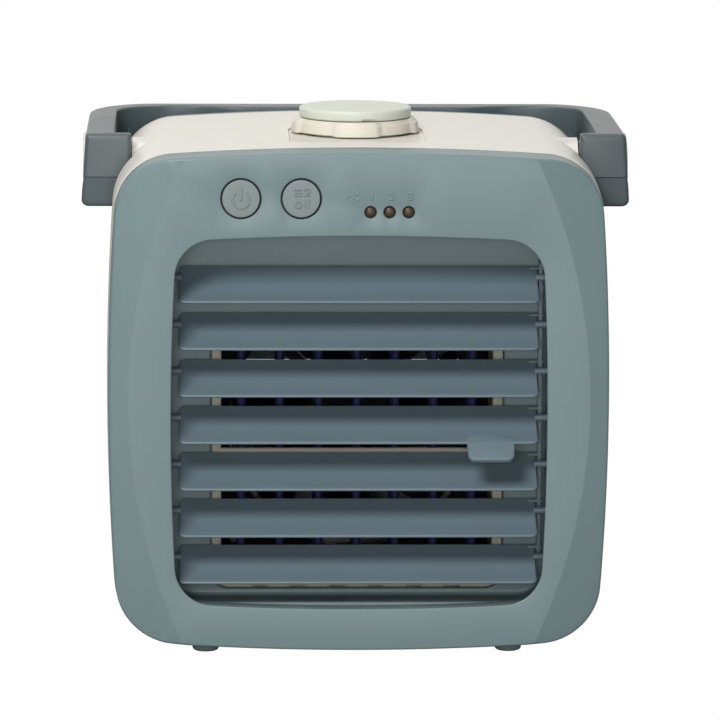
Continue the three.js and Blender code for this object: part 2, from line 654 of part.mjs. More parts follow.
function foot([x, y]) {
  const place = [x, y];
  return join(
    rod("z", place, FOOT.lowZ, 0.1, FOOT.radius - 0.7, FOOT.radius, 24),
    rod("z", place, 0.1, 2.6, FOOT.radius, FOOT.radius, 24),
    rod("z", place, 2.5, 7.2, 1.65, 1.65, 12),
    rod("z", place, 6.4, 7.2, 2.4, 2.1, 12),
  );
}

// ---------------------------------------------------------------- water tank and cap
function waterTank() {
  const { halfWidth, front, back, low, high, wall, corner } = TANK;
  const outline = (inset) =>
    roundedRect(inset - halfWidth, front + inset, halfWidth - inset, back - inset, corner - inset, 4);
  const outer = prismZ(outline(0), low, high);
  const hollow = prismZ(outline(wall), low + wall, high - wall);
  const collar = rod("z", [0, CAP.y], high - 0.5, 168.6, TANK_MOUTH + 1.7, TANK_MOUTH + 1.7, 24);
  const mouth = rod("z", [0, CAP.y], high - 3, CAP.topZ, TANK_MOUTH, TANK_MOUTH, 24);
  const drips = [];
  for (let i = 0; i < SHEET.count; i++) {
    const x = (i - (SHEET.count - 1) / 2) * SHEET.pitch;
    drips.push(rod("z", [x, 45], low - 1, low + 3, 0.9, 0.9, 8));
  }
  return cut(join(outer, collar), hollow, mouth, ...drips);
}

// The cap ring's outline: a circle with four shallow lobes.
function lobedOutline(radius, lobe, steps = 48) {
  const points = [];
  for (let i = 0; i < steps; i++) {
    const a = (i / steps) * 2 * Math.PI;
    const rise = THREE.MathUtils.smoothstep(Math.cos(4 * a), -0.25, 0.35);
    const r = radius + lobe * rise;
    points.push(new THREE.Vector2(r * Math.cos(a), CAP.y + r * Math.sin(a)));
  }
  return points;
}

function fillerRing() {
  const { topZ, ringRadius, lobe, bore } = CAP;
  const flange = prismZ(lobedOutline(ringRadius, lobe), topZ - 0.4, topZ + 3.6);
  const shoulder = prismZ(lobedOutline(ringRadius - 0.9, lobe), topZ + 3.5, topZ + 4.5);
  const skirt = rod("z", [0, CAP.y], 158, topZ + 2, 15.7, 15.7, 24);
  const hole = rod("z", [0, CAP.y], 150, topZ + 9, bore, bore, 24);
  return cut(join(flange, shoulder, skirt), hole);
}

function fillerLid() {
  const { topZ, lidRadius, bore } = CAP;
  const centre = [0, CAP.y];
  const plug = rod("z", centre, topZ - 6, topZ + 5.6, bore - 0.5, bore - 0.5, 24);
  const groove = cut(
    rod("z", centre, topZ - 3.2, topZ - 0.8, bore + 1, bore + 1, 24),
    rod("z", centre, topZ - 4, topZ, bore - 2, bore - 2, 24),
  );
  const disc = join(
    rod("z", centre, topZ + 4.8, topZ + 7.2, lidRadius - 0.2, lidRadius, 32),
    rod("z", centre, topZ + 7.2, topZ + 8.6, lidRadius, lidRadius - 1.4, 32),
  );
  const nick = box([1.9, CAP.y - lidRadius - 1, topZ + 4], [6.4, CAP.y - lidRadius + 2.4, topZ + 5.7]);
  const hollow = rod("z", centre, topZ - 7, topZ + 3, bore - 3.4, bore - 3.4, 24);
  return cut(join(plug, disc), groove, nick, hollow);
}

function lidSeal() {
  const profile = [];
  for (let i = 0; i <= 8; i++) {
    const a = (i / 8) * 2 * Math.PI;
    profile.push(new THREE.Vector2(CAP.bore - 1.15 + 0.75 * Math.cos(a), 0.75 * Math.sin(a)));
  }
  const ring = new THREE.LatheGeometry(profile, 24);
  ring.rotateX(Math.PI / 2);
  ring.translate(0, CAP.y, CAP.topZ - 2);
  const solid = toSolid(ring);
  return solid.volume() > 0 ? solid : toSolid(flipped(ring));
}

// ---------------------------------------------------------------- handle
// The handle seen from above, for arms whose outer faces are at the given distance.
function handlePlan(outerX) {
  const { innerX, front: frontY } = HANDLE;
  const { back, front: barFront, outerCurve, innerCurve } = CROSSBAR;
  const arc = (cx, cy, rx, ry, steps) => {
    const points = [];
    for (let i = 0; i <= steps; i++) {
      const a = (i / steps) * (Math.PI / 2);
      points.push([cx + rx * Math.cos(a), cy + ry * Math.sin(a)]);
    }
    return points;
  };
  const outer = [[outerX, frontY], ...arc(outerX - outerCurve[0], back - outerCurve[1], ...outerCurve, 7)];
  const grip = [[54, barFront - 1], [46, barFront - 3.6], [36, barFront - 4.6], [0, barFront - 5]];
  const innerArc = arc(innerX - innerCurve[0], barFront - innerCurve[1], ...innerCurve, 6);
  const inner = [[innerX, frontY], ...innerArc, ...grip];
  const right = outer.map(([x, y]) => new THREE.Vector2(x, y));
  const left = outer.map(([x, y]) => new THREE.Vector2(-x, y)).reverse();
  const innerLeft = inner.map(([x, y]) => new THREE.Vector2(-x, y));
  const innerRight = inner.map(([x, y]) => new THREE.Vector2(x, y)).reverse().slice(1);
  return [...right, ...left, ...innerLeft, ...innerRight];
}

function handle() {
  const { outerX: topX, draft, topZ, hubLow, front: frontY } = HANDLE;
  const { lowZ: barLow, back } = CROSSBAR;
  const outerX = topX + draft;
  const round = 2.6;
  const side = [
    [frontY, hubLow + round], [frontY + 0.8, hubLow + 0.8], [frontY + round, hubLow],
    [79, hubLow], [100, hubLow + 4], [back - 20, barLow - 1], [back - 2, barLow], [back, barLow + 2],
    [back, topZ - 2.6], [back - 0.6, topZ - 1.1], [back - 2, topZ - 0.5], [100, topZ],
    [frontY + 3.2, topZ], [frontY + 0.95, topZ - 0.95], [frontY, topZ - 3.2],
  ].map(([y, z]) => new THREE.Vector2(y, z));
  const profile = prismX(side, -outerX - 1, outerX + 1);
  const clearance = prismY(bodyOutline(3.2, 2.2), 40, 140.5);
  const atZ = (points, z) => points.map((p) => [p.x, p.y, z]);
  const plans = [atZ(handlePlan(outerX), hubLow), atZ(handlePlan(topX), topZ)];
  const drafted = loft(plans, handlePlan(topX));
  const frame = cut(drafted.intersect(profile), clearance);
  const hubs = mirrored((s) => {
    const [a, b] = sorted(s * (HINGE.faceX + 0.4), s * (topX - 1));
    const plate = box([a, frontY - 1, hubLow - 1], [b, HUB.plateBack, topZ + 1]).intersect(profile);
    const web = box([a, HUB.plateBack - 1.6, HUB.webLow], [b, HINGE.y, HUB.webHigh]);
    return join(plate, rod("x", [HINGE.y, HINGE.z], a, b, HUB.radius, HUB.radius, 24), web);
  });
  const bores = mirrored((s) => {
    const [a, b] = sorted(s * 60, s * 100);
    const [c, d] = sorted(s * 88.4, s * 100);
    const [e, f] = sorted(s * (COVER.innerX - 0.3), s * 100);
    const bore = (from, to, radius, sides) => rod("x", [HINGE.y, HINGE.z], from, to, radius, radius, sides);
    return join(bore(a, b, HINGE.pin + PLAY, 20), bore(c, d, 5, 20), bore(e, f, COVER.seat, 32));
  });
  return cut(join(frame, ...hubs), ...bores);
}

function pivotScrew(side) {
  const hinge = [HINGE.y, HINGE.z];
  const [a, b] = sorted(side * 62, side * 88.7);
  const [c, d] = sorted(side * 88.5, side * 90.8);
  return join(rod("x", hinge, a, b, HINGE.pin, HINGE.pin, 20), rod("x", hinge, c, d, 4.6, 4.6, 20));
}

function pivotCover(side) {
  const hinge = [HINGE.y, HINGE.z];
  const { radius, innerX, outerX } = COVER;
  const rim = outerX - 0.7;
  const disc = rod("x", hinge, ...sorted(side * innerX, side * rim), radius, radius, 32);
  const edge = side > 0 ? [radius, radius - 0.6] : [radius - 0.6, radius];
  return join(disc, rod("x", hinge, ...sorted(side * rim, side * outerX), ...edge, 32));
}

// ---------------------------------------------------------------- electrics
function usbOutline(grow, corner) {
  const [w, h] = [USB.halfWidth + grow, USB.halfHeight + grow];
  return roundedRect(USB.x - w, USB.z - h, USB.x + w, USB.z + h, corner, 3);
}

const usbBoard = () => box([USB.x - 9, 119, USB.z - 4], [USB.x + 9, 135.2, USB.z - 2.4]);

function usbSocket() {
  const { x, z, front, back } = USB;
  const shell = prismY(usbOutline(0, 1.6), front, back);
  const mouth = prismY(usbOutline(-0.4, 1.2), front + 4, back + 1.6);
  const tongue = box([x - 3.3, front + 3, z - 0.35], [x + 3.3, back - 1, z + 0.35]);
  const seat = box([x - 4, front + 1, z - 2.1], [x + 4, front + 7, z - 1.5]);
  return join(cut(join(shell, seat), mouth), tongue);
}

// The two leads, from the charging board and the fan to the control board.
const POWER_LEAD = [
  [-61, 124, 27], [-68, 116, 40], [-74, 90, 90],
  [-74, 40, 120], [-70, 20, 140], [-54.5, 11, 154],
];
const FAN_LEAD = [
  [48, 112, 96], [60, 104, 104], [72, 70, 112],
  [73, 36, 126], [56, 21, 149], [10, 14.5, 152.5],
];

// A lead clipped along the inside of the casing, from one point to the next.
function lead(points) {
  const places = points.map((p) => new THREE.Vector3(...p));
  const path = new THREE.CatmullRomCurve3(places, false, "catmullrom", 0.3);
  const [sides, radius] = [6, 1.1];
  const section = Array.from({ length: sides }, (_, i) => {
    const a = (i / sides) * 2 * Math.PI;
    return new THREE.Vector2(radius * Math.cos(a), radius * Math.sin(a));
  });
  const geometry = new THREE.ExtrudeGeometry(new THREE.Shape(section), { steps: 16, extrudePath: path });
  const solid = toSolid(geometry);
  return solid.volume() > 0 ? solid : toSolid(flipped(geometry));
}

// ---------------------------------------------------------------- assembly
const cooler = new THREE.Group();
const assembly = new THREE.Group();
assembly.position.set(0, -DEPTH_MIDDLE, -FOOT.lowZ);
cooler.add(assembly);

function add(name, solid, finish) {
  const mesh = new THREE.Mesh(toGeometry(solid), FINISH[finish]);
  mesh.name = name;
  assembly.add(mesh);
}

add("front_bezel", frontBezel(), "blueGrey");
add("power_button", button(POWER_X), "button");
add("mode_button", button(MODE_X), "button");
add("power_switch", tactSwitch(POWER_X), "black");
add("mode_switch", tactSwitch(MODE_X), "black");
LEDS.x.forEach((x, i) => add(`led_lens_${i + 1}`, ledLens(x), "ledLens"));
add("control_board", controlBoard(), "board");
add("louvre_frame", louvreFrame(), "blueGrey");
for (let i = 0; i < LOUVRE.count; i++) add(`louvre_${i + 1}`, louvre(i), "louvre");
add("louvre_link", louvreLink(), "louvre");
add("filter_frame", filterFrame(), "filterFrame");
for (let i = 0; i < SHEET.count; i++) add(`filter_sheet_${i + 1}`, filterSheet(i), "filterSheet");
add("air_duct", airDuct(), "black");
add("drip_tray", dripTray(), "tank");
add("water_tank", waterTank(), "tank");
add("filler_ring", fillerRing(), "ivory");
add("filler_lid", fillerLid(), "mint");
add("lid_seal", lidSeal(), "rubberRing");
add("fan_housing", fanHousing(), "black");
add("fan_rotor", fanRotor(), "black");
add("fan_shaft", rod("y", [0, FAN.middleZ], 95.7, 111.5, MOTOR.shaft, MOTOR.shaft, 16), "steel");
add("fan_bearing", sleeve(101.2, 112, MOTOR.bearing, MOTOR.shaft + 0.1, 20), "steel");
add("fan_stator", fanStator(), "copper");
fanScrewPlaces().forEach((place, i) => add(`fan_screw_${i + 1}`, fanScrew(place), "steel"));
add("body_shell", bodyShell(), "cream");
add("rear_cover", rearCover(), "blueGrey");
screwPlaces().forEach((place, i) => add(`case_screw_${i + 1}`, caseScrew(place), "steel"));
footPlaces().forEach((place, i) => add(`foot_${i + 1}`, foot(place), "rubber"));
add("usb_board", usbBoard(), "board");
add("usb_socket", usbSocket(), "steel");
add("power_lead", lead(POWER_LEAD), "black");
add("fan_lead", lead(FAN_LEAD), "black");
add("handle", handle(), "handle");
for (const [name, side] of [["left", -1], ["right", 1]]) {
  add(`pivot_screw_${name}`, pivotScrew(side), "steel");
  add(`pivot_cover_${name}`, pivotCover(side), "ivory");
}

export default cooler;
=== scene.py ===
"""Looks of a desktop evaporative air cooler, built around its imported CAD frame.

Shapes are worked out in millimetres: x to the right, t back from the flat of the front
bezel, z up, with the table at FOOT.low. place() turns such a point into the row frame,
in metres.
"""
import json
from math import atan2, copysign, cos, hypot, pi, radians, sin, sqrt, tan
from types import SimpleNamespace as Sizes

import bmesh
import bpy
from mathutils import Matrix, Vector
from mathutils.geometry import delaunay_2d_cdt


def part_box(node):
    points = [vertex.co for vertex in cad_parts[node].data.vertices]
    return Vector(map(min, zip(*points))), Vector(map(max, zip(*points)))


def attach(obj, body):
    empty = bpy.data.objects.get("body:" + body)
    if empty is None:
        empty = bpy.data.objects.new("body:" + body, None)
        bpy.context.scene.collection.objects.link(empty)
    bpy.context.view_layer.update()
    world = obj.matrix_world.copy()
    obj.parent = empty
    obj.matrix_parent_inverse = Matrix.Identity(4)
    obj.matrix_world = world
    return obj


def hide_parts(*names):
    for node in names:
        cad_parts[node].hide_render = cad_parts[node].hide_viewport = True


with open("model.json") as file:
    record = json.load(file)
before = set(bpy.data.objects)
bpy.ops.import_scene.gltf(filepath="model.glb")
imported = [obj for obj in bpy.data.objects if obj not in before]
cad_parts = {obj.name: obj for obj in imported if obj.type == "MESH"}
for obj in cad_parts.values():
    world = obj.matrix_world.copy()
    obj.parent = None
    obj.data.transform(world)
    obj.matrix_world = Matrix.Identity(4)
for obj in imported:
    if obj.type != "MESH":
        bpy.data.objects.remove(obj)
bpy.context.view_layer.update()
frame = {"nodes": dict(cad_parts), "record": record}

MM = 0.001
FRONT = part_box("front_bezel")[0].y / MM  # the row frame's y of t = 0
FOOT = Sizes(x=51, front=19.2, back=118, radius=4.5, low=-1.1)


def place(x, t, z):
    return Vector((x, FRONT + t, z - FOOT.low)) * MM


# ------------ driving sizes
BODY_MIDDLE = 86
BOW = 950  # radius of the arc that every side of the body bulges along
SIDE_STEPS, CORNER_STEPS = 12, 14
BEZEL = Sizes(half_w=83.1, half_h=83.5, corner=20, depth=14, plate=2.6, draft=0.5, edge=0.8)
CREASE = Sizes(radius=192, inset=6.4, slope=tan(radians(14)))
CASING = Sizes(front=14.3, back=127, half_w=83.7, half_h=84, bulge=1.0, wall=2.4)
REAR = Sizes(front=127.3, back=139, plate=2.6, wall=2.4)
RECESS = Sizes(half_w=62.5, half_h=62.7, middle=79.2, corner=13, depth=12.5, flare=1.1, lip=0.5)
LOUVRE = Sizes(t=17.9, half_length=60, front=14, back=5.4, tilt=radians(32))
PIVOTS = [125.8 - 15.8 * i for i in range(7)]  # heights of the louvres' pins, from the top down
TAB_LOUVRE = 3
TAB = Sizes(left=35.9, right=52.1, reach=8.2, top=1.1, under=-0.6)
LINK = Sizes(arm=4.6, pin=0.9, thickness=1.2, half_width=1.7)
FRAME = Sizes(front=12.8, panel=25, back=27, half_w=63.4, half_h=62.8, wall=2.2)
OUTLET = Sizes(half_w=49.2, low=18.9, high=108.9, corner=6)
BUTTONS = {"power_button": -39.4, "mode_button": -19.5}
BUTTON = Sizes(z=154.5, radius=6.2, hole=6.85, flange=7.85, proud=0.7, relief=0.35, lip=0.1)
LEDS = Sizes(x=(3.4, 9.7, 16), z=150, radius=1.75, hole=2.1)
CASSETTE = Sizes(half_w=49, low=16.9, high=112.2, front=28, back=62, post=3.2, rail=2.6)
SHEET = Sizes(count=7, pitch=13, thickness=3.2)
FAN = Sizes(z=64.8, side=92, front=91, back=116, bore=43.5, hub=17.5, holes=41.25, blades=7)
CAP = Sizes(t=66, top=170, lid=19.1, ring=20.5, lobe=1.3, bore=12.6)
DISH = Sizes(radius=22.9, front=29, floor=169.2, corner=5)  # the shallow well round the cap
HINGE = Sizes(t=66, z=157, face=75.8, pocket=18.4, boss=10.4)
HANDLE = Sizes(
    outer=91.6, draft=1.7, inner=82.2, top=170, hub_low=145, bar_low=154, back=155, bar_front=147, front=52.5
)
HUB = Sizes(start=HINGE.face + 0.4, plate_back=56.6, radius=9.5, web_low=148, web_high=156)
PARTING = 155.2  # height of the step where the handle's mould halves met
PARTING_STEP = (PARTING + 0.25, PARTING - 0.05)
CORNER_POINTS = 7
COVER = Sizes(radius=12.1, seat=12.4, inner=91.1, outer=92.5)
CASE_SCREW = Sizes(x=66, low=20, high=152)
USB = Sizes(x=-50, z=28, half_w=4.5, half_h=1.65, front=127, back=138.4)
SLOTS = Sizes(rows=10, pitch=8.6, reach=47, half_height=2.2, half_rib=2)  # the air slots at the back


# ------------ camera and light
WORLD_LIGHT = 0.24
FLOOR_SHADE = 0.3
FLOOR_HALF = 6  # metres
CAMERA = Sizes(at=(-52.6, -1794.5, 378), lens=274.1, down=8.781, right=1.682, roll=0.25)
LIT_POINT = (0, 60, 90)
WHITE = (1, 1, 1)
LIGHTS = {  # name: place, size in metres, watts, colour
    "overhead": ((-150, 160, 950), (0.8, 0.8), 2.6, (1, 0.98, 0.95)),
    "key": ((-450, -1000, 1000), (0.45, 0.45), 14, WHITE),
    "backdrop": ((0, 1500, 480), (2.4, 0.9), 6, (1, 0.98, 0.94)),
    "front_fill": ((-100, -1500, 260), (0.45, 0.35), 6, WHITE),
}


def make_camera():
    """A long lens a little above the cooler and a little to its left."""
    camera = bpy.data.objects.new("camera", bpy.data.cameras.new("camera"))
    bpy.context.scene.collection.objects.link(camera)
    bpy.context.scene.camera = camera
    camera.data.sensor_width = 36
    camera.data.lens = CAMERA.lens
    turns = ((-CAMERA.right, "Z"), (90 - CAMERA.down, "X"), (CAMERA.roll, "Z"))
    stance = Matrix.Translation(place(*CAMERA.at))
    for angle, axis in turns:
        stance = stance @ Matrix.Rotation(radians(angle), 4, axis)
    camera.matrix_world = stance
    camera.data.clip_end = 100


def make_light(name, at, size, power, colour):
    data = bpy.data.lights.new(name, "AREA")
    data.shape = "RECTANGLE"
    data.size, data.size_y = size
    data.energy = power
    data.color = colour
    light = bpy.data.objects.new(name, data)
    bpy.context.scene.collection.objects.link(light)
    light.location = place(*at)
    towards = place(*LIT_POINT) - light.location
    light.rotation_euler = towards.to_track_quat("-Z", "Y").to_euler()


def seen_white(nodes, links, lighting, output):
    """Shows the floor or the world as pure white to the eye, while it lights the cooler its own way."""
    kind = "ShaderNodeEmission" if output == "Material Output" else "ShaderNodeBackground"
    white = nodes.new(kind)
    white.inputs["Color"].default_value = (*WHITE, 1)
    white.inputs["Strength"].default_value = 1
    ray = nodes.new("ShaderNodeLightPath")
    either = nodes.new("ShaderNodeMixShader")
    links.new(ray.outputs["Is Camera Ray"], either.inputs[0])
    links.new(lighting.outputs[0], either.inputs[1])
    links.new(white.outputs[0], either.inputs[2])
    links.new(either.outputs[0], nodes[output].inputs["Surface"])


def make_world():
    world = bpy.data.worlds.new("studio")
    bpy.context.scene.world = world
    world.use_nodes = True
    nodes, links = world.node_tree.nodes, world.node_tree.links
    sky = nodes["Background"]
    sky.inputs["Color"].default_value = (*WHITE, 1)
    sky.inputs["Strength"].default_value = WORLD_LIGHT
    seen_white(nodes, links, sky, "World Output")


def make_floor():
    half = FLOOR_HALF
    corners = [(-half, -half, 0), (half, -half, 0), (half, half, 0), (-half, half, 0)]
    mesh = bpy.data.meshes.new("floor")
    mesh.from_pydata(corners, [], [(0, 1, 2, 3)])
    floor = bpy.data.objects.new("floor", mesh)
    bpy.context.scene.collection.objects.link(floor)
    paper = bpy.data.materials.new("floor_paper")
    paper.use_nodes = True
    nodes, links = paper.node_tree.nodes, paper.node_tree.links
    shader = nodes["Principled BSDF"]
    shader.inputs["Base Color"].default_value = (FLOOR_SHADE, FLOOR_SHADE, FLOOR_SHADE, 1)
    shader.inputs["Roughness"].default_value = 0.9
    seen_white(nodes, links, shader, "Material Output")
    mesh.materials.append(paper)


def make_studio():
    scene = bpy.context.scene
    scene.view_settings.view_transform = "Standard"
    scene.view_settings.look = "None"
    make_world()
    for name, (at, size, power, colour) in LIGHTS.items():
        make_light(name, at, size, power, colour)
    make_floor()


make_camera()
make_studio()


# ------------ materials
FINISHES = {}
PATCH_SIZE, PATCH_DETAIL = 26, 3  # millimetres, and the noise's detail
GLOSS_SIZE, GLOSS_DETAIL, GLOSS_SWING = 7, 2, 0.05
GRAIN_DETAIL, GRAIN_STRENGTH = 4, 0.35


def srgb(r, g, b):
    """An 8-bit screen colour as the linear colour a shader takes."""
    linear = [(c / 255 / 12.92) if c <= 10 else ((c / 255 + 0.055) / 1.055) ** 2.4 for c in (r, g, b)]
    return (*linear, 1)


def plastic(name, colour, roughness=0.5, grain=0.012, grain_size=0.35, mottle=0.04):
    """Moulded plastic: a fine spark-eroded grain, faint colour mottling and uneven gloss."""
    material = bpy.data.materials.new(name)
    FINISHES[name] = material
    material.use_nodes = True
    nodes, links = material.node_tree.nodes, material.node_tree.links
    shader = nodes["Principled BSDF"]
    where = nodes.new("ShaderNodeTexCoord")

    def noise(size_mm, detail):
        node = nodes.new("ShaderNodeTexNoise")
        node.inputs["Scale"].default_value = 1 / (size_mm * MM)
        node.inputs["Detail"].default_value = detail
        links.new(where.outputs["Object"], node.inputs["Vector"])
        return node

    patches = noise(PATCH_SIZE, PATCH_DETAIL)
    shade = nodes.new("ShaderNodeMix")
    shade.data_type = "RGBA"
    dark = [c * (1 - mottle) for c in colour[:3]] + [1]
    light = [min(1, c * (1 + mottle)) for c in colour[:3]] + [1]
    shade.inputs[6].default_value = dark
    shade.inputs[7].default_value = light
    links.new(patches.outputs["Fac"], shade.inputs["Factor"])
    links.new(shade.outputs[2], shader.inputs["Base Color"])
    gloss = nodes.new("ShaderNodeMapRange")
    gloss.inputs["To Min"].default_value = roughness - GLOSS_SWING
    gloss.inputs["To Max"].default_value = roughness + GLOSS_SWING
    links.new(noise(GLOSS_SIZE, GLOSS_DETAIL).outputs["Fac"], gloss.inputs["Value"])
    links.new(gloss.outputs["Result"], shader.inputs["Roughness"])
    if grain:
        bump = nodes.new("ShaderNodeBump")
        bump.inputs["Strength"].default_value = GRAIN_STRENGTH
        bump.inputs["Distance"].default_value = grain * MM
        links.new(noise(grain_size, GRAIN_DETAIL).outputs["Fac"], bump.inputs["Height"])
        links.new(bump.outputs["Normal"], shader.inputs["Normal"])
    return material


def metal(name, colour, roughness):
    """Plated or drawn metal with fine scratches."""
    material = plastic(name, colour, roughness, grain=0.004, grain_size=0.2, mottle=0.06)
    material.node_tree.nodes["Principled BSDF"].inputs["Metallic"].default_value = 1


plastic("blue_grey_plastic", srgb(112, 133, 135), 0.42)
plastic("louvre_plastic", srgb(106, 123, 132), 0.45)
plastic("handle_plastic", srgb(79, 90, 93), 0.4)
plastic("button_plastic", srgb(125, 136, 137), 0.5)
plastic("cream_plastic", srgb(221, 218, 210), 0.4, grain=0.006)
plastic("ivory_plastic", srgb(213, 208, 195), 0.4, grain=0.006)
plastic("mint_plastic", srgb(207, 211, 199), 0.4, grain=0.006)
plastic("filter_frame_plastic", srgb(196, 193, 176), 0.5)
plastic("filter_cloth", srgb(44, 48, 100), 0.9, grain=0.25, grain_size=1.2, mottle=0.25)
plastic("black_plastic", srgb(22, 24, 26), 0.6)
# Painted light: the feet's colour is paler than their rubber, to brighten feet that sit in the shade under
# the body.
plastic("foot_rubber", srgb(128, 146, 149), 0.8, grain=0.03, grain_size=0.5)
plastic("seal_rubber", srgb(40, 40, 40), 0.7)
plastic("circuit_board", srgb(30, 84, 56), 0.5)
metal("plated_steel", srgb(190, 190, 190), 0.3)
metal("copper_winding", srgb(178, 108, 62), 0.35)
plastic("led_lens_plastic", srgb(70, 54, 38), 0.4, grain=0)
plastic("tank_plastic", srgb(222, 225, 222), 0.3, grain=0.004)
plastic("lead_sleeve", srgb(30, 30, 32), 0.5)

for row in frame["record"]["subparts"]:
    node = frame["nodes"][row["node"]]
    node.data.materials.clear()
    node.data.materials.append(FINISHES[row["material_slot"]])


# ------------ mesh tools
WELD = 0.002 * MM


class Skin:
    """The points and faces of one piece, gathered ring by ring."""

    def __init__(self):
        self.points, self.faces = [], []

    def ring(self, points):
        start = len(self.points)
        self.points.extend(points)
        return list(range(start, len(self.points)))

    def bridge(self, a, b):
        for i in range(len(a)):
            j = (i + 1) % len(a)
            self.faces.append((a[i], a[j], b[j], b[i]))

    def loft(self, rings, caps=True):
        indices = [self.ring(r) for r in rings]
        for a, b in zip(indices, indices[1:]):
            self.bridge(a, b)
        if caps:
            self.faces.append(tuple(reversed(indices[0])))
            self.faces.append(tuple(indices[-1]))
        return indices

    def hoop(self, rings):
        """A closed loop of rings, as round a frame or a tube with thick walls."""
        indices = [self.ring(r) for r in rings]
        for a, b in zip(indices, indices[1:] + indices[:1]):
            self.bridge(a, b)

    def shape(self, name):
        """The piece as an object in the row frame, with its doubles welded and its faces turned out."""
        mesh = bpy.data.meshes.new(name)
        mesh.from_pydata([place(*p) for p in self.points], [], self.faces)
        work = bmesh.new()
        work.from_mesh(mesh)
        bmesh.ops.remove_doubles(work, verts=work.verts, dist=WELD)
        bmesh.ops.recalc_face_normals(work, faces=work.faces)
        work.to_mesh(mesh)
        work.free()
        thing = bpy.data.objects.new(name, mesh)
        bpy.context.scene.collection.objects.link(thing)
        return thing


def lofted(rings, name="tool"):
    skin = Skin()
    skin.loft(rings)
    return skin.shape(name)


def hooped(rings, name="tool"):
    skin = Skin()
    skin.hoop(rings)
    return skin.shape(name)


def settle(thing):
    """Applies a piece's modifiers to its mesh."""
    graph = bpy.context.evaluated_depsgraph_get()
    mesh = bpy.data.meshes.new_from_object(thing.evaluated_get(graph))
    old = thing.data
    thing.modifiers.clear()
    thing.data = mesh
    mesh.name = thing.name
    bpy.data.meshes.remove(old)
    return thing


def combine(thing, others, operation):
    for other in others:
        step = thing.modifiers.new("combine", "BOOLEAN")
        step.operation = operation
        step.solver = "MANIFOLD"
        step.object = other
    settle(thing)
    for other in others:
        mesh = other.data
        bpy.data.objects.remove(other, do_unlink=True)
        bpy.data.meshes.remove(mesh)
    return thing


def join(thing, *others):
    return combine(thing, others, "UNION")


def cut(thing, *others):
    return combine(thing, others, "DIFFERENCE")


def overlap(thing, *others):
    return combine(thing, others, "INTERSECT")


def finish(thing, slot, *replaced, body="housing", sharp=32, flat=False):
    """Gives a piece its material slot, its body and the CAD nodes that it stands for."""
    thing.data.shade_smooth()
    thing.data.set_sharp_from_angle(angle=radians(sharp))
    if flat:
        step = thing.modifiers.new("even_normals", "WEIGHTED_NORMAL")
        step.keep_sharp = True
        step.weight = 100
        settle(thing)
    thing.data.materials.clear()
    thing.data.materials.append(FINISHES[slot])
    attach(thing, body)
    if replaced:
        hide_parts(*replaced)


# ------------ outlines
def bowed(half_w, half_h, corner, middle):
    """A rectangle (x, z) with round corners whose sides all bulge along one large arc."""
    cx, cz = half_w - BOW, half_h - BOW
    half = hypot(cx, cz) / 2
    lift = sqrt((BOW - corner) ** 2 - half**2)
    centre = (cx / 2 + lift * abs(cz) / (2 * half), cz / 2 + lift * abs(cx) / (2 * half))
    side_angle = atan2(centre[1], centre[0] - cx)
    top_angle = atan2(centre[1] - cz, centre[0])
    quarter = []
    for i in range(SIDE_STEPS):
        a = side_angle * i / SIDE_STEPS
        quarter.append((cx + BOW * cos(a), BOW * sin(a)))
    for i in range(CORNER_STEPS + 1):
        a = side_angle + (top_angle - side_angle) * i / CORNER_STEPS
        quarter.append((centre[0] + corner * cos(a), centre[1] + corner * sin(a)))
    for i in range(1, SIDE_STEPS):
        a = top_angle + (pi / 2 - top_angle) * i / SIDE_STEPS
        quarter.append((BOW * cos(a), cz + BOW * sin(a)))
    upper = quarter + [(0, half_h)] + [(-x, z) for x, z in reversed(quarter)]
    lower = [(x, -z) for x, z in reversed(upper[1:-1])]
    return [(x, z + middle) for x, z in upper + lower]


def body_outline(grow, grow_top=None):
    top = grow if grow_top is None else grow_top
    corner = BEZEL.corner + min(grow, top)
    return bowed(BEZEL.half_w + grow, BEZEL.half_h + top, corner, BODY_MIDDLE)


def recess_outline(grow, corner_grow=None):
    corner = RECESS.corner + (grow if corner_grow is None else corner_grow)
    return bowed(RECESS.half_w + grow, RECESS.half_h + grow, corner, RECESS.middle)


def circle(cx, cz, radius, steps=48):
    turn = 2 * pi / steps
    return [(cx + radius * cos(i * turn), cz + radius * sin(i * turn)) for i in range(steps)]


def rounded_rect(x0, z0, x1, z1, radius, steps=6):
    points = []
    left, right, low, high = x0 + radius, x1 - radius, z0 + radius, z1 - radius
    corners = ((right, high), (left, high), (left, low), (right, low))
    for quarter, (cx, cz) in enumerate(corners):
        for i in range(steps + 1):
            a = (quarter + i / steps) * pi / 2
            points.append((cx + radius * cos(a), cz + radius * sin(a)))
    return points


def at_t(outline, t):
    return [(x, t, z) for x, z in outline]


def arc_steps(count):
    """(sine, 1 - cosine) over a quarter turn, for fillets."""
    return [(sin(a), 1 - cos(a)) for a in (i * pi / 2 / count for i in range(count + 1))]


def prism(outline, t0, t1, name="tool"):
    return lofted([at_t(outline, t0), at_t(outline, t1)], name)


def turned(axis, centre, profile, name="tool", steps=64, make=lofted):
    """A solid of revolution: profile is (distance along the axis, radius) from end to end."""
    rings = []
    for along, radius in profile:
        ring = []
        for u, v in circle(*centre, radius, steps):
            point = [u, v]
            point.insert("xyz".index(axis), along)
            ring.append(point)
        rings.append(ring)
    return make(rings, name)


def rod(axis, centre, start, end, radius, steps=48):
    return turned(axis, centre, [(start, radius), (end, radius)], steps=steps)


def block(low, high):
    outline = [(low[0], low[2]), (high[0], low[2]), (high[0], high[2]), (low[0], high[2])]
    return prism(outline, low[1], high[1])


# ------------ front bezel
GUIDES = (0, 5, 10, 15)  # how far beside the crease the front's own edge lines run
GUIDE_STEPS = 56


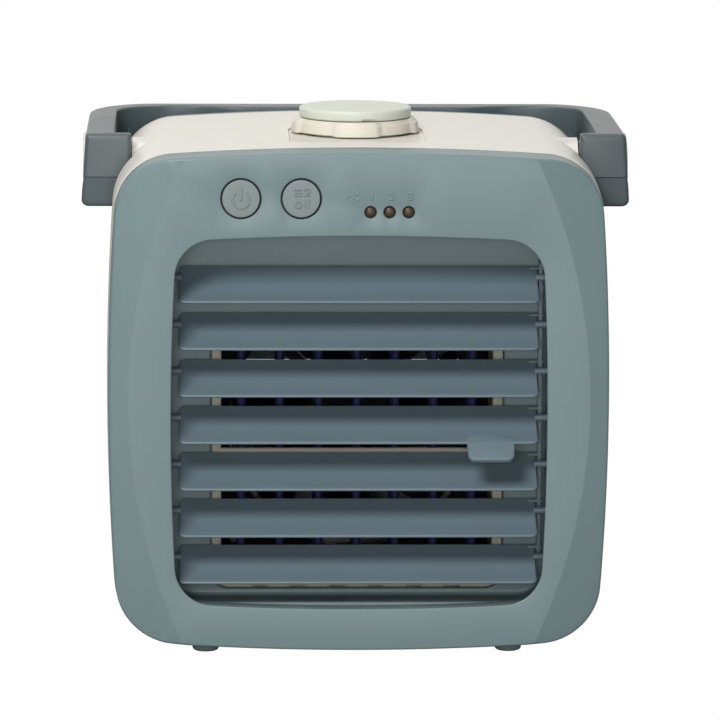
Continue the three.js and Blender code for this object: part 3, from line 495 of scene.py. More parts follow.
def crease_x(z):
    """Where the bevel of the right-hand side starts, at a height."""
    rise = min(abs(z - BODY_MIDDLE), CREASE.radius * 0.9)
    bend = CREASE.radius - sqrt(CREASE.radius ** 2 - rise**2)
    return BEZEL.half_w - CREASE.inset - bend


def bevel_depth(x, z):
    return max(0, abs(x) - crease_x(z)) * CREASE.slope


def inside(outline, x, z):
    hit = False
    for (x0, z0), (x1, z1) in zip(outline, outline[1:] + outline[:1]):
        if (z0 > z) != (z1 > z) and x < (x1 - x0) * (z - z0) / (z1 - z0) + x0:
            hit = not hit
    return hit


def make_bezel():
    edge, lip, depth, plate = BEZEL.edge, RECESS.lip, BEZEL.depth, BEZEL.plate
    outer = body_outline(-edge)
    opening = recess_outline(lip)
    hole_lip = BUTTON.lip
    holes = [circle(x, BUTTON.z, BUTTON.hole + hole_lip, 72) for x in BUTTONS.values()]
    holes += [circle(x, LEDS.z, LEDS.hole + hole_lip, 40) for x in LEDS.x]
    loops = [outer, opening, *holes]
    points, edges = [], []
    for loop in loops:
        start = len(points)
        points += loop
        edges += [(start + i, start + (i + 1) % len(loop)) for i in range(len(loop))]
    span = BEZEL.half_h + 2
    for side in (1, -1):
        for offset in GUIDES:
            start = len(points)
            for i in range(GUIDE_STEPS + 1):
                z = BODY_MIDDLE - span + 2 * span * i / GUIDE_STEPS
                points.append((side * (crease_x(z) + offset), z))
            edges += [(start + i, start + i + 1) for i in range(GUIDE_STEPS)]
    found, _, faces, *_ = delaunay_2d_cdt([Vector(p) for p in points], edges, [], 0, 1e-5)
    skin = Skin()
    front = skin.ring([(v.x, bevel_depth(v.x, v.y), v.y) for v in found])
    back = skin.ring([(v.x, bevel_depth(v.x, v.y) + plate, v.y) for v in found])
    for face in faces:
        x = sum(found[i].x for i in face) / 3
        z = sum(found[i].y for i in face) / 3
        if inside(outer, x, z) and not any(inside(loop, x, z) for loop in loops[1:]):
            skin.faces.append(tuple(front[i] for i in face))
            skin.faces.append(tuple(back[i] for i in reversed(face)))

    def with_depth(outline, t):
        return [(x, bevel_depth(x, z) + t, z) for x, z in outline]

    draft = BEZEL.draft
    rim = [with_depth(body_outline(edge * (s - 1)), edge * c) for s, c in arc_steps(5)]
    rim.append(at_t(body_outline(draft), depth - 0.25))
    rim.append(at_t(body_outline(draft - 0.25), depth))
    rim.append(at_t(body_outline(draft - 2), depth))
    rim.append(with_depth(body_outline(-2.2), plate + 1.5))
    rim.append(with_depth(outer, plate))
    skin.loft(rim, caps=False)
    flare, recess = RECESS.flare, RECESS.depth
    wall = [at_t(recess_outline(lip * (1 - s)), lip * c) for s, c in arc_steps(5)]
    wall.append(at_t(recess_outline(flare, -4), recess - 0.3))
    wall.append(at_t(recess_outline(flare + 0.3, -4), recess))
    wall.append(at_t(recess_outline(flare + 2, -2), recess))
    wall.append(at_t(recess_outline(lip + 0.8), plate + 1))
    wall.append(at_t(opening, plate))
    skin.loft(wall, caps=False)
    for loop, (x, z, r) in zip(holes, hole_places()):
        steps = len(loop)
        rings = []
        for s, c in arc_steps(3):
            rings.append(at_t(circle(x, z, r + hole_lip * (1 - s), steps), hole_lip * c))
        rings += [at_t(circle(x, z, r, steps), plate - 0.1), at_t(loop, plate)]
        skin.loft(rings, caps=False)
    bezel = skin.shape("bezel_skin")
    finish(bezel, "blue_grey_plastic", "front_bezel", sharp=50)
    for line in bezel.data.edges:
        ends = [bezel.data.vertices[i].co / MM for i in line.vertices]
        off_crease = max(abs(abs(end.x) - crease_x(end.z + FOOT.low)) for end in ends)
        if off_crease < 0.01 and all(end.y - FRONT < plate / 2 for end in ends):
            line.use_edge_sharp = True


def hole_places():
    for x in BUTTONS.values():
        yield x, BUTTON.z, BUTTON.hole
    for x in LEDS.x:
        yield x, LEDS.z, LEDS.hole


make_bezel()


# ------------ buttons, figures and lights
def ribbon(path, width):
    """The outline of a flat band of even width along a path of (x, z) points."""
    left, right = [], []
    for i, (x, z) in enumerate(path):
        before, after = path[max(i - 1, 0)], path[min(i + 1, len(path) - 1)]
        dx, dz = after[0] - before[0], after[1] - before[1]
        length = hypot(dx, dz)
        nx, nz = -dz / length * width / 2, dx / length * width / 2
        left.append((x + nx, z + nz))
        right.append((x - nx, z - nz))
    return left + right[::-1]


def band(path, width, t0, t1):
    """A raised band along a path, from depth t0 to t1, with sloping sides."""
    top, foot = ribbon(path, width - 0.12), ribbon(path, width + 0.2)
    return lofted([at_t(top, t0), at_t(foot, t1 - 0.4), at_t(foot, t1)], "band")


def arc(cx, cz, radius, start, end, steps=24):
    """Points on an arc; the angles are in degrees from +x towards +z."""
    angles = [radians(start + (end - start) * i / steps) for i in range(steps + 1)]
    return [(cx + radius * cos(a), cz + radius * sin(a)) for a in angles]


def power_mark(x, z):
    ring = arc(x, z - 0.2, 2.8, 125, 415, 40)
    return [(ring, 0.7), ([(x, z + 3.6), (x, z - 0.6)], 0.7)]


def mode_mark(x, z):
    """Three bars of air, a gust, a drop and two upright bars."""
    lines = [([(x - 2.2, z + h), (x + 0.2, z + h)], 0.5) for h in (3.1, 2.1, 1.1)]
    lines.append((arc(x + 1.9, z + 2.6, 0.8, 170, -60, 16) + [(x + 1.1, z + 1.1), (x + 2.8, z + 1.1)], 0.45))
    lines.append((arc(x - 1, z - 1.9, 1, 0, 359, 24), 0.5))
    lines += [([(x + s, z - 0.4), (x + s, z - 3)], 0.5) for s in (1.3, 2.5)]
    return lines


def make_button(name, mark):
    x, z = BUTTONS[name], BUTTON.z
    radius, proud, edge = BUTTON.radius, BUTTON.proud, 0.25
    face = [(-proud - 0.02, 0.2), (-proud, radius * 0.7)]
    face += [(-proud + edge * c, radius - edge + edge * s) for s, c in arc_steps(5)]
    stem = [(3.2, radius), (3.2, BUTTON.flange), (4.2, BUTTON.flange), (4.2, 1.8), (5, 1.8)]
    cap = turned("y", (x, z), face + stem, name + "_cap", 96)
    lines = [band(path, width, -proud - BUTTON.relief, -proud + 0.4) for path, width in mark(x, z)]
    finish(join(cap, *lines), "button_plastic", name, body=name)
    # Painted shade: a dark ring fills the gap round each button, standing in for the shadow inside a deep,
    # narrow gap.
    inner, outer, front, back = radius + 0.13, BUTTON.hole + 0.02, 0.45, BEZEL.plate - 0.1
    rings = [(front + 0.2, inner), (front, inner + 0.2), (front, outer), (back, outer), (back, inner)]
    painted_shade_ring = turned("y", (x, z), rings, f"{name}_seal", 96, hooped)
    finish(painted_shade_ring, "seal_rubber")


make_button("power_button", power_mark)
make_button("mode_button", mode_mark)


def make_lens(index, x):
    radius = LEDS.radius
    dome = [(0.35 + 0.75 * c, radius * s) for s, c in arc_steps(8)[1:]]
    rest = [(2.9, radius), (2.9, 2.7), (3.8, 2.7), (3.8, radius), (8.1, radius)]
    lens = turned("y", (x, LEDS.z), dome + rest, f"led_dome_{index}", 40)
    finish(lens, "led_lens_plastic", f"led_lens_{index}", sharp=50)


for number, led_x in enumerate(LEDS.x, 1):
    make_lens(number, led_x)


def make_figure(text, x, z):
    """A raised figure, 2.6 mm tall, on the bezel."""
    curve = bpy.data.curves.new("figure", "FONT")
    curve.body = text
    curve.size = 3.7 * MM
    curve.extrude = 0.25 * MM
    curve.bevel_depth = 0.09 * MM
    curve.align_x, curve.align_y = "CENTER", "CENTER"
    curve.resolution_u = 6
    source = bpy.data.objects.new("figure_curve", curve)
    bpy.context.scene.collection.objects.link(source)
    source.rotation_euler = (pi / 2, 0, 0)
    source.location = place(x, 0.02, z)
    bpy.context.view_layer.update()
    graph = bpy.context.evaluated_depsgraph_get()
    mesh = bpy.data.meshes.new_from_object(source.evaluated_get(graph))
    mesh.transform(source.matrix_world)
    bpy.data.objects.remove(source, do_unlink=True)
    bpy.data.curves.remove(curve)
    work = bmesh.new()
    work.from_mesh(mesh)
    bmesh.ops.remove_doubles(work, verts=work.verts, dist=0.001 * MM)
    bmesh.ops.recalc_face_normals(work, faces=work.faces)
    work.to_mesh(mesh)
    work.free()
    figure = bpy.data.objects.new(f"figure_{text}", mesh)
    bpy.context.scene.collection.objects.link(figure)
    finish(figure, "blue_grey_plastic")


for text, led_x in zip("123", LEDS.x):
    make_figure(text, led_x + 0.6, LEDS.z + 5.2)


def make_fan_mark(x=-2.3, z=155.6, blades=5):
    """A raised fan sign: swept blades round a small hub."""
    low, high = -0.3, 0.2
    blade = ((0, 0.6), (10, 1.4), (24, 2.1), (42, 2.55), (58, 2.45), (48, 1.9), (42, 1.3), (48, 0.6))
    skin = Skin()
    for k in range(blades):
        turn = 360 / blades * k
        outline = []
        for angle, radius in blade:
            a = radians(turn + angle)
            outline.append((x + radius * cos(a), z + radius * sin(a)))
        skin.loft([at_t(outline, low), at_t(outline, high)])
    hub = circle(x, z, 0.5, 20)
    skin.loft([at_t(hub, low), at_t(hub, high)])
    finish(skin.shape("fan_mark"), "blue_grey_plastic")


make_fan_mark()


# ------------ louvres
def tilted(u, v, pivot):
    """A louvre's (u, v) as (t, z): u towards its front edge, v up from its chord."""
    c, s = cos(LOUVRE.tilt), sin(LOUVRE.tilt)
    return LOUVRE.t - u * c - v * s, pivot - u * s + v * c


def louvre_section(pull=0.0, thin=1.0, steps=16):
    """The slat's section: a shallow trough, thin at its two round edges."""
    front, back = LOUVRE.front - pull, LOUVRE.back - pull
    full = LOUVRE.front + LOUVRE.back
    nose, sag = 0.45, 1.8

    def share(u):
        return (u + LOUVRE.back) / full

    def middle(u):
        s = share(u)
        return 0.4 + 0.4 * s - 4 * sag * s * (1 - s)

    def half(u):
        return (nose + 0.4 * sin(pi * share(u))) * thin

    us = [-back + nose + (front + back - 2 * nose) * i / steps for i in range(steps + 1)]
    bend = [pi / 2 * (1 - 2 * k / 8) for k in range(1, 8)]
    points = [(u, middle(u) + half(u)) for u in us]
    for a in bend:
        points.append((us[-1] + nose * cos(a), middle(us[-1]) + half(us[-1]) * sin(a)))
    points += [(u, middle(u) - half(u)) for u in reversed(us)]
    for a in reversed(bend):
        points.append((us[0] - nose * cos(a), middle(us[0]) - half(us[0]) * sin(a)))
    return points


def make_louvre(index, pivot):
    half, corner, soft = LOUVRE.half_length, 2.2, 0.5
    stations = []
    for s, c in arc_steps(7):
        x = half - corner + corner * s
        past = max(0, (x - half + soft) / soft)
        stations.append((x, corner * c, max(0.35, sqrt(max(0, 1 - past**2)))))
    rings = []
    for x, pull, thin in [(-x, p, k) for x, p, k in reversed(stations)] + stations:
        rings.append([(x, *tilted(u, v, pivot)) for u, v in louvre_section(pull, thin)])
    slat = lofted(rings, f"louvre_slat_{index + 1}")
    hub = tilted(0, 0, pivot)
    arm = tilted(-LINK.arm, 0, pivot)
    pins = []
    for side in (1, -1):
        inner, outer = side * (half - 0.8), side * (half + 5)
        pins.append(turned("x", hub, [(inner, 1.2), (outer - side * 0.3, 1.2), (outer, 0.9)], steps=32))
    pins.append(rod("x", arm, half - 2.5, half + 2.2, LINK.pin, 24))
    if index == TAB_LOUVRE:
        pins.append(make_tab(pivot))
    name = f"louvre_{index + 1}"
    finish(join(slat, *pins), "louvre_plastic", name, body=name)


def make_tab(pivot):
    """The finger tab: a flat tongue with round corners, a little narrower at its end."""
    root, end = LOUVRE.front - 4, LOUVRE.front + TAB.reach
    low, high, soft = TAB.under, TAB.top, 0.45
    rings = []
    layers = [(low + soft * (1 - s), soft * c) for s, c in arc_steps(4)][::-1]
    layers += [(high - soft * (1 - s), soft * c) for s, c in arc_steps(4)]
    for v, inset in layers:
        outline = rounded_rect(TAB.left + inset, root, TAB.right - inset, end - inset, 2.6 - inset)
        middle = (TAB.left + TAB.right) / 2
        ring = []
        for x, u in outline:
            narrow = 1 - 0.06 * (u - root) / (end - root)
            ring.append((middle + (x - middle) * narrow, *tilted(u, v, pivot)))
        rings.append(ring)
    return lofted(rings, "tab")


for louvre_index, pivot_z in enumerate(PIVOTS):
    make_louvre(louvre_index, pivot_z)


def make_link():
    half, r = LINK.half_width, LINK.pin + 0.15
    pins = [tilted(-LINK.arm, 0, z) for z in PIVOTS]
    x0 = LOUVRE.half_length + 0.5
    x1 = x0 + LINK.thickness
    outline = rounded_rect(pins[0][0] - half, pins[-1][1] - 3, pins[0][0] + half, pins[0][1] + 3, half * 0.95)
    bar = lofted([[(x, t, z) for t, z in outline] for x in (x0, x1)], "link_strip")
    holes = [rod("x", pin, x0 - 1, x1 + 1, r, 24) for pin in pins]
    finish(cut(bar, *holes), "louvre_plastic", "louvre_link", body="link_bar")


make_link()


def make_louvre_frame():
    front, panel, back, wall = FRAME.front, FRAME.panel, FRAME.back, FRAME.wall
    half_w, half_h, middle, corner = FRAME.half_w, FRAME.half_h, RECESS.middle, 9.5

    def tray(grow):
        w, h = half_w + grow, half_h + grow
        return rounded_rect(-w, middle - h, w, middle + h, corner + grow, 12)

    def outlet(grow):
        w, low, high = OUTLET.half_w + grow, OUTLET.low - grow, OUTLET.high + grow
        return rounded_rect(-w, low, w, high, OUTLET.corner + grow, 12)

    rings = [at_t(tray(wall - 0.3), front), at_t(tray(wall), front + 0.3), at_t(tray(wall), back)]
    rings += [at_t(outlet(0), back)]
    rings += [at_t(outlet(0.8 * c), panel + 0.8 * (1 - s)) for s, c in arc_steps(4)]
    rings += [at_t(tray(-1.5 * (1 - s)), panel - 1.5 * c) for s, c in arc_steps(4)]
    rings += [at_t(tray(0), front + 0.3), at_t(tray(0.3), front)]
    holes = [rod("x", (LOUVRE.t, z), -80, 80, 1.35, 24) for z in PIVOTS]
    shell = cut(hooped(rings, "louvre_tray"), *holes)
    finish(shell, "blue_grey_plastic", "louvre_frame", sharp=50, flat=True)


make_louvre_frame()


# ------------ filter cassette
def make_filter_frame():
    w, low, high = CASSETTE.half_w, CASSETTE.low, CASSETTE.high
    front, back, post, rail = CASSETTE.front, CASSETTE.back, CASSETTE.post, CASSETTE.rail
    soft = 0.5

    def border(inset, sill):
        return rounded_rect(-w + inset, low + sill, w - inset, high - sill, 1.2, 4)

    rings = []
    for k in (1, 0.5, 0):
        rings.append(at_t(border(soft * k, soft * k), front + soft * (1 - sqrt(1 - k**2))))
    rings += [at_t(border(0, 0), back), at_t(border(post, rail), back)]
    rings += [at_t(border(post, rail), front + soft), at_t(border(post - soft, rail - soft), front)]
    shell = hooped(rings, "cassette_rim")
    bars = []
    for t in (front, back - 2.4):
        for z0, z1 in ((63.8, 66.3), (low + 1, 21)):
            ends = [(t + 0.4, z0), (t + 2, z0), (t + 2.4, z0 + 0.4), (t + 2.4, z1 - 0.4), (t + 2, z1)]
            ends += [(t + 0.4, z1), (t, z1 - 0.4), (t, z0 + 0.4)]
            bars.append(lofted([[(x, *end) for end in ends] for x in (1 - w, w - 1)], "bar"))
    notches = []
    for k in range(SHEET.count - 1):
        x = (k - (SHEET.count - 2) / 2) * SHEET.pitch
        notches.append(block((x - 2.5, front - 1, low + 0.8), (x + 2.5, front + 3, 22)))
    rim = cut(join(shell, *bars), *notches)
    finish(rim, "filter_frame_plastic", "filter_frame")


def make_sheet(index):
    """One evaporating sheet: fluted fibre board, its flutes rising across the air."""
    x0 = (index - (SHEET.count - 1) / 2) * SHEET.pitch
    front, back = CASSETTE.front + 2.7, CASSETTE.back - 2.7
    low, high = CASSETTE.low + CASSETTE.rail + 0.3, CASSETTE.high - CASSETTE.rail - 0.3
    half, flute, deep = SHEET.thickness / 2, 6.0, 0.38
    rows, across = 110, 24
    lean = 1 if index % 2 else -1
    rings = []
    for r in range(rows + 1):
        z = low + (high - low) * r / rows
        ring = []
        for side in (1, -1):
            for c in range(across + 1):
                share = c / across if side > 0 else 1 - c / across
                t = front + (back - front) * share
                wave = deep * sin(2 * pi * (z + lean * side * t) / flute)
                edge = min(1, share * 14, (1 - share) * 14)
                ring.append((x0 + side * ((half - deep) * (0.55 + 0.45 * edge) + wave * edge), t, z))
        rings.append(ring)
    name = f"filter_sheet_{index + 1}"
    finish(lofted(rings, f"wick_{index + 1}"), "filter_cloth", name, sharp=80)


make_filter_frame()
for sheet_index in range(SHEET.count):
    make_sheet(sheet_index)


# ------------ fan
def fan_screw_places():
    d = FAN.holes
    return [(x, FAN.z + z) for x, z in ((-d, -d), (d, -d), (-d, d), (d, d))]


def make_blade(turn, stations=14, around=18):
    """A blade whose pitch eases and whose chord widens towards its tip."""
    rings = []
    for i in range(stations + 1):
        s = i / stations
        radius = FAN.hub - 1.5 + (FAN.bore - 1.3 - FAN.hub + 1.5) * s
        pitch = radians(48 - 20 * s)
        chord = 17 + 9 * s
        if s > 0.85:
            chord *= 1 - 1.2 * (s - 0.85)
        ring = []
        for k in range(around):
            a = 2 * pi * k / around
            along = 0.5 * chord * cos(a)
            camber = 1.1 * (1 - cos(a) ** 2)
            v = 0.75 * sin(a) * (1 - 0.25 * cos(a)) - camber
            across = along * cos(pitch) - v * sin(pitch)
            angle = turn + 0.35 * s + across / radius
            t = 103.5 + along * sin(pitch) + v * cos(pitch)
            ring.append((radius * cos(angle), t, FAN.z + radius * sin(angle)))
        rings.append(ring)
    return lofted(rings, "blade")


def make_rotor():
    hub, centre = FAN.hub, (0, FAN.z)
    cap = [(94.25, 1.6), (94, 2.4), (94, hub - 1.6)]
    cap += [(94 + 1.6 * c, hub - 1.6 + 1.6 * s) for s, c in arc_steps(6)][1:]
    cap += [(111.8, hub), (111.8, hub - 1.5), (97, hub - 1.5), (97, 1.6)]
    rotor = turned("y", centre, cap, "rotor_cup", 72, hooped)
    blades = [make_blade(2 * pi * k / FAN.blades) for k in range(FAN.blades)]
    bore = rod("y", centre, 97, 111.8, hub - 1.5, 72)
    finish(cut(join(rotor, *blades), bore), "black_plastic", "fan_rotor", body="rotor", sharp=50)


def make_fan_housing():
    z0, half, front, back, bore = FAN.z, FAN.side / 2, FAN.front, FAN.back, FAN.bore
    block_outline = rounded_rect(-half, z0 - half, half, z0 + half, 4, 8)
    body = prism(block_outline, front, back, "fan_block")
    lip = 1.8
    throat = [(front - 1, bore + lip + 0.6), (front, bore + lip)]
    throat += [(front + lip * c, bore + lip * (1 - s)) for s, c in arc_steps(6)[1:]]
    throat += [(back - lip, bore), (back, bore + lip), (back + 1, bore + lip)]
    body = cut(body, turned("y", (0, z0), throat, steps=96))
    pockets = []
    for x, z in fan_screw_places():
        sx, sz = copysign(1, x), copysign(1, z - z0)
        xs, zs = sorted((x - sx * 3.4, x + sx * 8)), sorted((z - sz * 3.4, z + sz * 8))
        pockets.append(block((xs[0], front + 4, zs[0]), (xs[1], back - 4, zs[1])))
    body = cut(body, *pockets)
    struts = []
    for k in range(4):
        a = pi / 4 + k * pi / 2
        ux, uz = cos(a), sin(a)
        ends = ((15, -2), (bore + 2, -2), (bore + 2, 2), (15, 2))
        corners = [(ux * r - uz * w, z0 + uz * r + ux * w) for r, w in ends]
        struts.append(prism(corners, back - 3.2, back - 0.4))
    struts.append(turned("y", (0, z0), [(back - 3.2, 19), (back - 0.8, 19), (back - 0.4, 18.6)], steps=72))
    tube = rod("y", (0, z0), 101, back - 2.7, 5.6, 40)
    struts.append(cut(tube, rod("y", (0, z0), 100, back - 3.7, 4.3, 40)))
    body = join(body, *struts)
    holes = [rod("y", p, front - 1, back + 1, 2.2, 24) for p in fan_screw_places()]
    finish(cut(body, *holes), "black_plastic", "fan_housing", sharp=40, flat=True)


def cross_recess(x, t, z, size, deep):
    """The tool that sinks a cross into a screw head facing back."""
    w = size * 0.16
    return [
        block((x - size * 0.55, t - deep, z - w), (x + size * 0.55, t + 1, z + w)),
        block((x - w, t - deep, z - size * 0.55), (x + w, t + 1, z + size * 0.55)),
    ]


def make_screw(name, centre, start, seat, top, shank, head):
    """A pan-head screw whose head faces back."""
    soft = (top - seat) * 0.55
    profile = [(start, shank * 0.7), (start + 0.6, shank), (seat, shank), (seat, head)]
    profile += [(top - soft * (1 - s), head - soft * c) for s, c in arc_steps(5)]
    screw = turned("y", centre, profile, name + "_metal", 40)
    screw = cut(screw, *cross_recess(centre[0], top, centre[1], head, 0.8))
    finish(screw, "plated_steel", name, sharp=40)


make_rotor()
make_fan_housing()
for number, centre in enumerate(fan_screw_places(), 1):
    make_screw(f"fan_screw_{number}", centre, 88.6, 116.3, 118.4, 1.9, 3.6)


# ------------ casing
def casing_outline(share, grow):
    bulge = CASING.bulge * share
    top = CASING.half_h - BEZEL.half_h
    return body_outline(CASING.half_w - BEZEL.half_w + bulge + grow, top + bulge * 0.25 + grow)


def casing_swell(share):
    """How far the casing has bulged, from 0 at its two ends to 1 in the middle."""
    return 1 - (2 * share - 1) ** 2


def case_screw_places():
    x, low, high = CASE_SCREW.x, CASE_SCREW.low, CASE_SCREW.high
    return [(-x, low), (x, low), (-x, high), (x, high)]


def screw_post(x, z):
    front, back = 106, 125.6
    near, far = sorted((x, copysign(CASING.half_w + 0.4, x)))
    return join(rod("y", (x, z), front, back, 4, 40), block((near, front, z - 1), (far, back, z + 1)))


def make_casing():
    front, back, wall, soft = CASING.front, CASING.back, CASING.wall, 0.6
    steps = 26
    outer, inner = [], []
    for s, c in arc_steps(3):
        outer.append(at_t(casing_outline(0, -soft * (1 - s)), front + soft * c))
    for k in range(1, steps):
        share = k / steps
        outer.append(at_t(casing_outline(casing_swell(share), 0), front + (back - front) * share))
    for s, c in reversed(arc_steps(3)):
        outer.append(at_t(casing_outline(0, -soft * (1 - s)), back - soft * c))
    for k in range(0, steps + 1, 2):
        share = 1 - k / steps
        inner.append(at_t(casing_outline(casing_swell(share), -wall), front + (back - front) * share))
    shell = hooped(outer + inner, "casing_skin")

    def within(tool):
        return overlap(tool, lofted(outer, "casing_room"))

    hinge = (HINGE.t, HINGE.z)
    face, pocket = HINGE.face, HINGE.pocket
    cups = [within(rod("x", hinge, side * (face - 3), side * 95, pocket + 2, 96)) for side in (1, -1)]
    bosses = [rod("x", hinge, side * 58, side * face, HINGE.boss, 64) for side in (1, -1)]
    posts = [within(screw_post(x, z)) for x, z in case_screw_places()]
    neck = (0, CAP.t)
    pad = rod("z", neck, CAP.top - 4.4, CAP.top - 1, 27, 96)
    shell = join(shell, pad, *cups, *bosses, *posts)
    cuts = []
    for side in (1, -1):
        cuts.append(rod("x", hinge, side * face, side * 100, pocket, 96))
        cuts.append(rod("x", hinge, side * 50, side * 99, 2.65, 32))
    cuts.append(make_well())
    cuts.append(rod("z", neck, CAP.top - 10, CAP.top + 4, 18.5, 96))
    cuts += [rod("y", p, 105, 140, 1.65, 24) for p in case_screw_places()]
    cuts += [rod("z", p, -5, 12, 1.85, 24) for p in foot_places()]
    finish(cut(shell, *cuts), "cream_plastic", "body_shell", sharp=35)


def make_well():
    """The tool for the shallow well round the cap: round behind, square in front."""
    r, front, low, high, soft = DISH.radius, DISH.front, DISH.floor, CAP.top + 5, 0.35
    depths = [(low, -soft), (low + 0.1, -soft * 0.4), (low + soft, 0), (high, soft)]
    rings = []
    for z, grow in depths:
        corner = DISH.corner + grow
        ring = [(x, CAP.t + t, z) for x, t in arc(0, 0, r + grow, 0, 180, 64)]
        ring += [(x, t, z) for x, t in arc(corner - r - grow, front - grow + corner, corner, 180, 270, 10)]
        ring += [(x, t, z) for x, t in arc(r + grow - corner, front - grow + corner, corner, 270, 360, 10)]
        rings.append(ring)
    return lofted(rings, "well")


def foot_places():
    x, front, back = FOOT.x, FOOT.front, FOOT.back
    return [(-x, front), (x, front), (-x, back), (x, back)]


def make_foot(number, centre):
    low, r, soft = FOOT.low, FOOT.radius, 1.2
    profile = [(low + soft * (1 - s), r - soft * c) for s, c in reversed(arc_steps(6))]
    profile += [(2.6, r), (2.6, 1.65), (6.4, 1.65), (6.4, 2.4), (7.2, 2.1)]
    name = f"foot_{number}"
    finish(turned("z", centre, profile, f"rubber_{name}", 56), "foot_rubber", name)


def make_rear_cover():
    front, back, plate, wall = REAR.front, REAR.back, REAR.plate, REAR.wall

    def outline(grow):
        return body_outline(grow - 0.3, grow + 0.2)

    round_off = 3.2
    rings = [at_t(outline(-0.3), front), at_t(outline(0), front + 0.3)]
    rings += [at_t(outline(-0.4 - round_off * c), back - round_off * (1 - s)) for s, c in arc_steps(8)]
    lining = [at_t(outline(-wall - 1.2), back - plate)]
    lining += [at_t(outline(-wall), back - plate - 1.2), at_t(outline(-wall), front)]
    skin = Skin()
    outer = skin.loft(rings, caps=False)
    inner = skin.loft(lining, caps=False)
    skin.bridge(inner[-1], outer[0])
    plateau = skin.ring(at_t(outline(-0.4 - round_off - 1), back))
    skin.bridge(outer[-1], plateau)
    skin.faces.append(tuple(plateau))
    skin.faces.append(tuple(reversed(inner[0])))
    cover = skin.shape("cover_skin")
    cover = join(cover, *[rod("y", p, front - 1.4, back - 1, 4.8, 40) for p in case_screw_places()])
    cuts = []
    layers = [(back + 0.5, 1.0), (back, 0.5), (back - 0.25, 0.15), (back - 0.6, 0), (back - 5, 0)]
    for k in range(SLOTS.rows):
        rise = (k - (SLOTS.rows - 1) / 2) * SLOTS.pitch
        for side in (1, -1):
            a, b = sorted((side * SLOTS.half_rib, side * sqrt(SLOTS.reach ** 2 - rise**2)))
            rings = []
            for t, grow in layers:
                h = SLOTS.half_height + grow
                low, high = FAN.z + rise - h, FAN.z + rise + h
                rings.append(at_t(rounded_rect(a - grow, low, b + grow, high, h - 0.1, 8), t))
            cuts.append(lofted(rings, "slot"))
    for p in case_screw_places():
        cuts.append(rod("y", p, front - 3, back + 1, 1.9, 32))
        seat = [(back - 3, 3.8), (back - 0.4, 3.8), (back, 4.2), (back + 1, 4.2)]
        cuts.append(turned("y", p, seat, steps=48))
    way = ((back + 1, 0.9), (back, 0.8), (back - 0.4, 0.45), (back - 5, 0.45))
    cuts.append(lofted([at_t(usb_outline(g, 1.9 + g * 0.5), t) for t, g in way], "usb_way"))
    finish(cut(cover, *cuts), "blue_grey_plastic", "rear_cover", sharp=40, flat=True)


def usb_outline(grow, corner):
    w, h = USB.half_w + grow, USB.half_h + grow
    return rounded_rect(USB.x - w, USB.z - h, USB.x + w, USB.z + h, corner, 8)


def make_usb_socket():
    front, back, x, z = USB.front, USB.back, USB.x, USB.z
    layers = [(0, front), (0, back - 0.15), (-0.15, back)]
    layers += [(-0.3, back), (-0.4, back - 0.1), (-0.4, front + 4)]
    rings = [at_t(usb_outline(grow, 1.6 + grow), t) for grow, t in layers]
    tongue = block((x - 3.3, front + 3, z - 0.35), (x + 3.3, back - 1, z + 0.35))
    seat = block((x - 4, front + 1, z - 2.1), (x + 4, front + 7, z - 1.5))
    finish(join(lofted(rings, "usb_shell"), tongue, seat), "plated_steel", "usb_socket", sharp=40)


make_casing()
make_rear_cover()
make_usb_socket()
for number, centre in enumerate(case_screw_places(), 1):
    make_screw(f"case_screw_{number}", centre, 110, REAR.back - 2.9, REAR.back - 1.3, 1.5, 3.4)
for number, centre in enumerate(foot_places(), 1):
    make_foot(number, centre)


# ------------ filler cap
def lobe_rise(angle):
    """1 on each of the ring's four lobes and 0 between them, with a smooth step."""
    s = min(1, max(0, (cos(4 * angle) + 0.25) / 0.6))
    return s * s * (3 - 2 * s)


def make_filler_ring():
    top, bore, steps = CAP.top, CAP.bore, 192
    angles = [2 * pi * k / steps for k in range(steps)]

    def ring(inset, z, drop=0.0, lobed=True):
        points = []
        for a in angles:
            rise = lobe_rise(a)
            r = CAP.ring - inset + (CAP.lobe * rise if lobed else 0)
            points.append((r * cos(a), CAP.t + r * sin(a), z - drop * rise))
        return points

    def plain(r, z):
        return [(r * cos(a), CAP.t + r * sin(a), z) for a in angles]

    soft = 0.7
    under, shoulder, rim = top - 0.1, top + 3.6, top + 4.5
    rings = [plain(15.7, 158), plain(15.7, under)]
    rings += [ring(1.4, under, 0.25), ring(0.3, under, 0.3), ring(0, under + 0.3, 0.3)]
    rings += [ring(0.35 + (soft - 0.1) * c, shoulder - soft * (1 - s)) for s, c in arc_steps(4)]
    rings += [ring(1.2, shoulder + 0.1), ring(1.4, rim - 0.2), ring(1.7, rim)]
    rings += [plain(bore + 0.3, rim), plain(bore, rim - 0.3), plain(bore, 158)]
    finish(hooped(rings, "cap_collar"), "ivory_plastic", "filler_ring", body="cap_ring", sharp=45)


def make_filler_lid():
    top, r, bore = CAP.top, CAP.lid, CAP.bore
    crown, soft = 0.3, 0.95
    plug, groove = bore - 0.5, bore - 2
    profile = [(top + 3, bore - 3.4), (top - 6, bore - 3.4), (top - 6, plug - 0.2), (top - 5.8, plug)]
    profile += [(top - 3.2, plug), (top - 3.2, groove), (top - 0.8, groove), (top - 0.8, plug)]
    profile += [(top + 4.8, plug), (top + 4.8, r - 0.8), (top + 4.9, r - 0.4), (top + 5.3, r - 0.1)]
    profile += [(top + 7.4, r)]
    profile += [(top + 8.3 - soft * (1 - s), r - soft * c) for s, c in arc_steps(6)][1:]
    profile += [(top + 8.3 + crown * (1 - (k / 8) ** 2), (r - soft) * k / 8) for k in range(7, 0, -1)]
    lid = turned("z", (0, CAP.t), profile, "lid_skin", 160)
    nick = block((1.9, CAP.t - r - 1, top + 4), (6.4, CAP.t - r + 2.4, top + 5.7))
    finish(cut(lid, nick), "mint_plastic", "filler_lid", body="cap_lid", sharp=45)


make_filler_ring()
make_filler_lid()


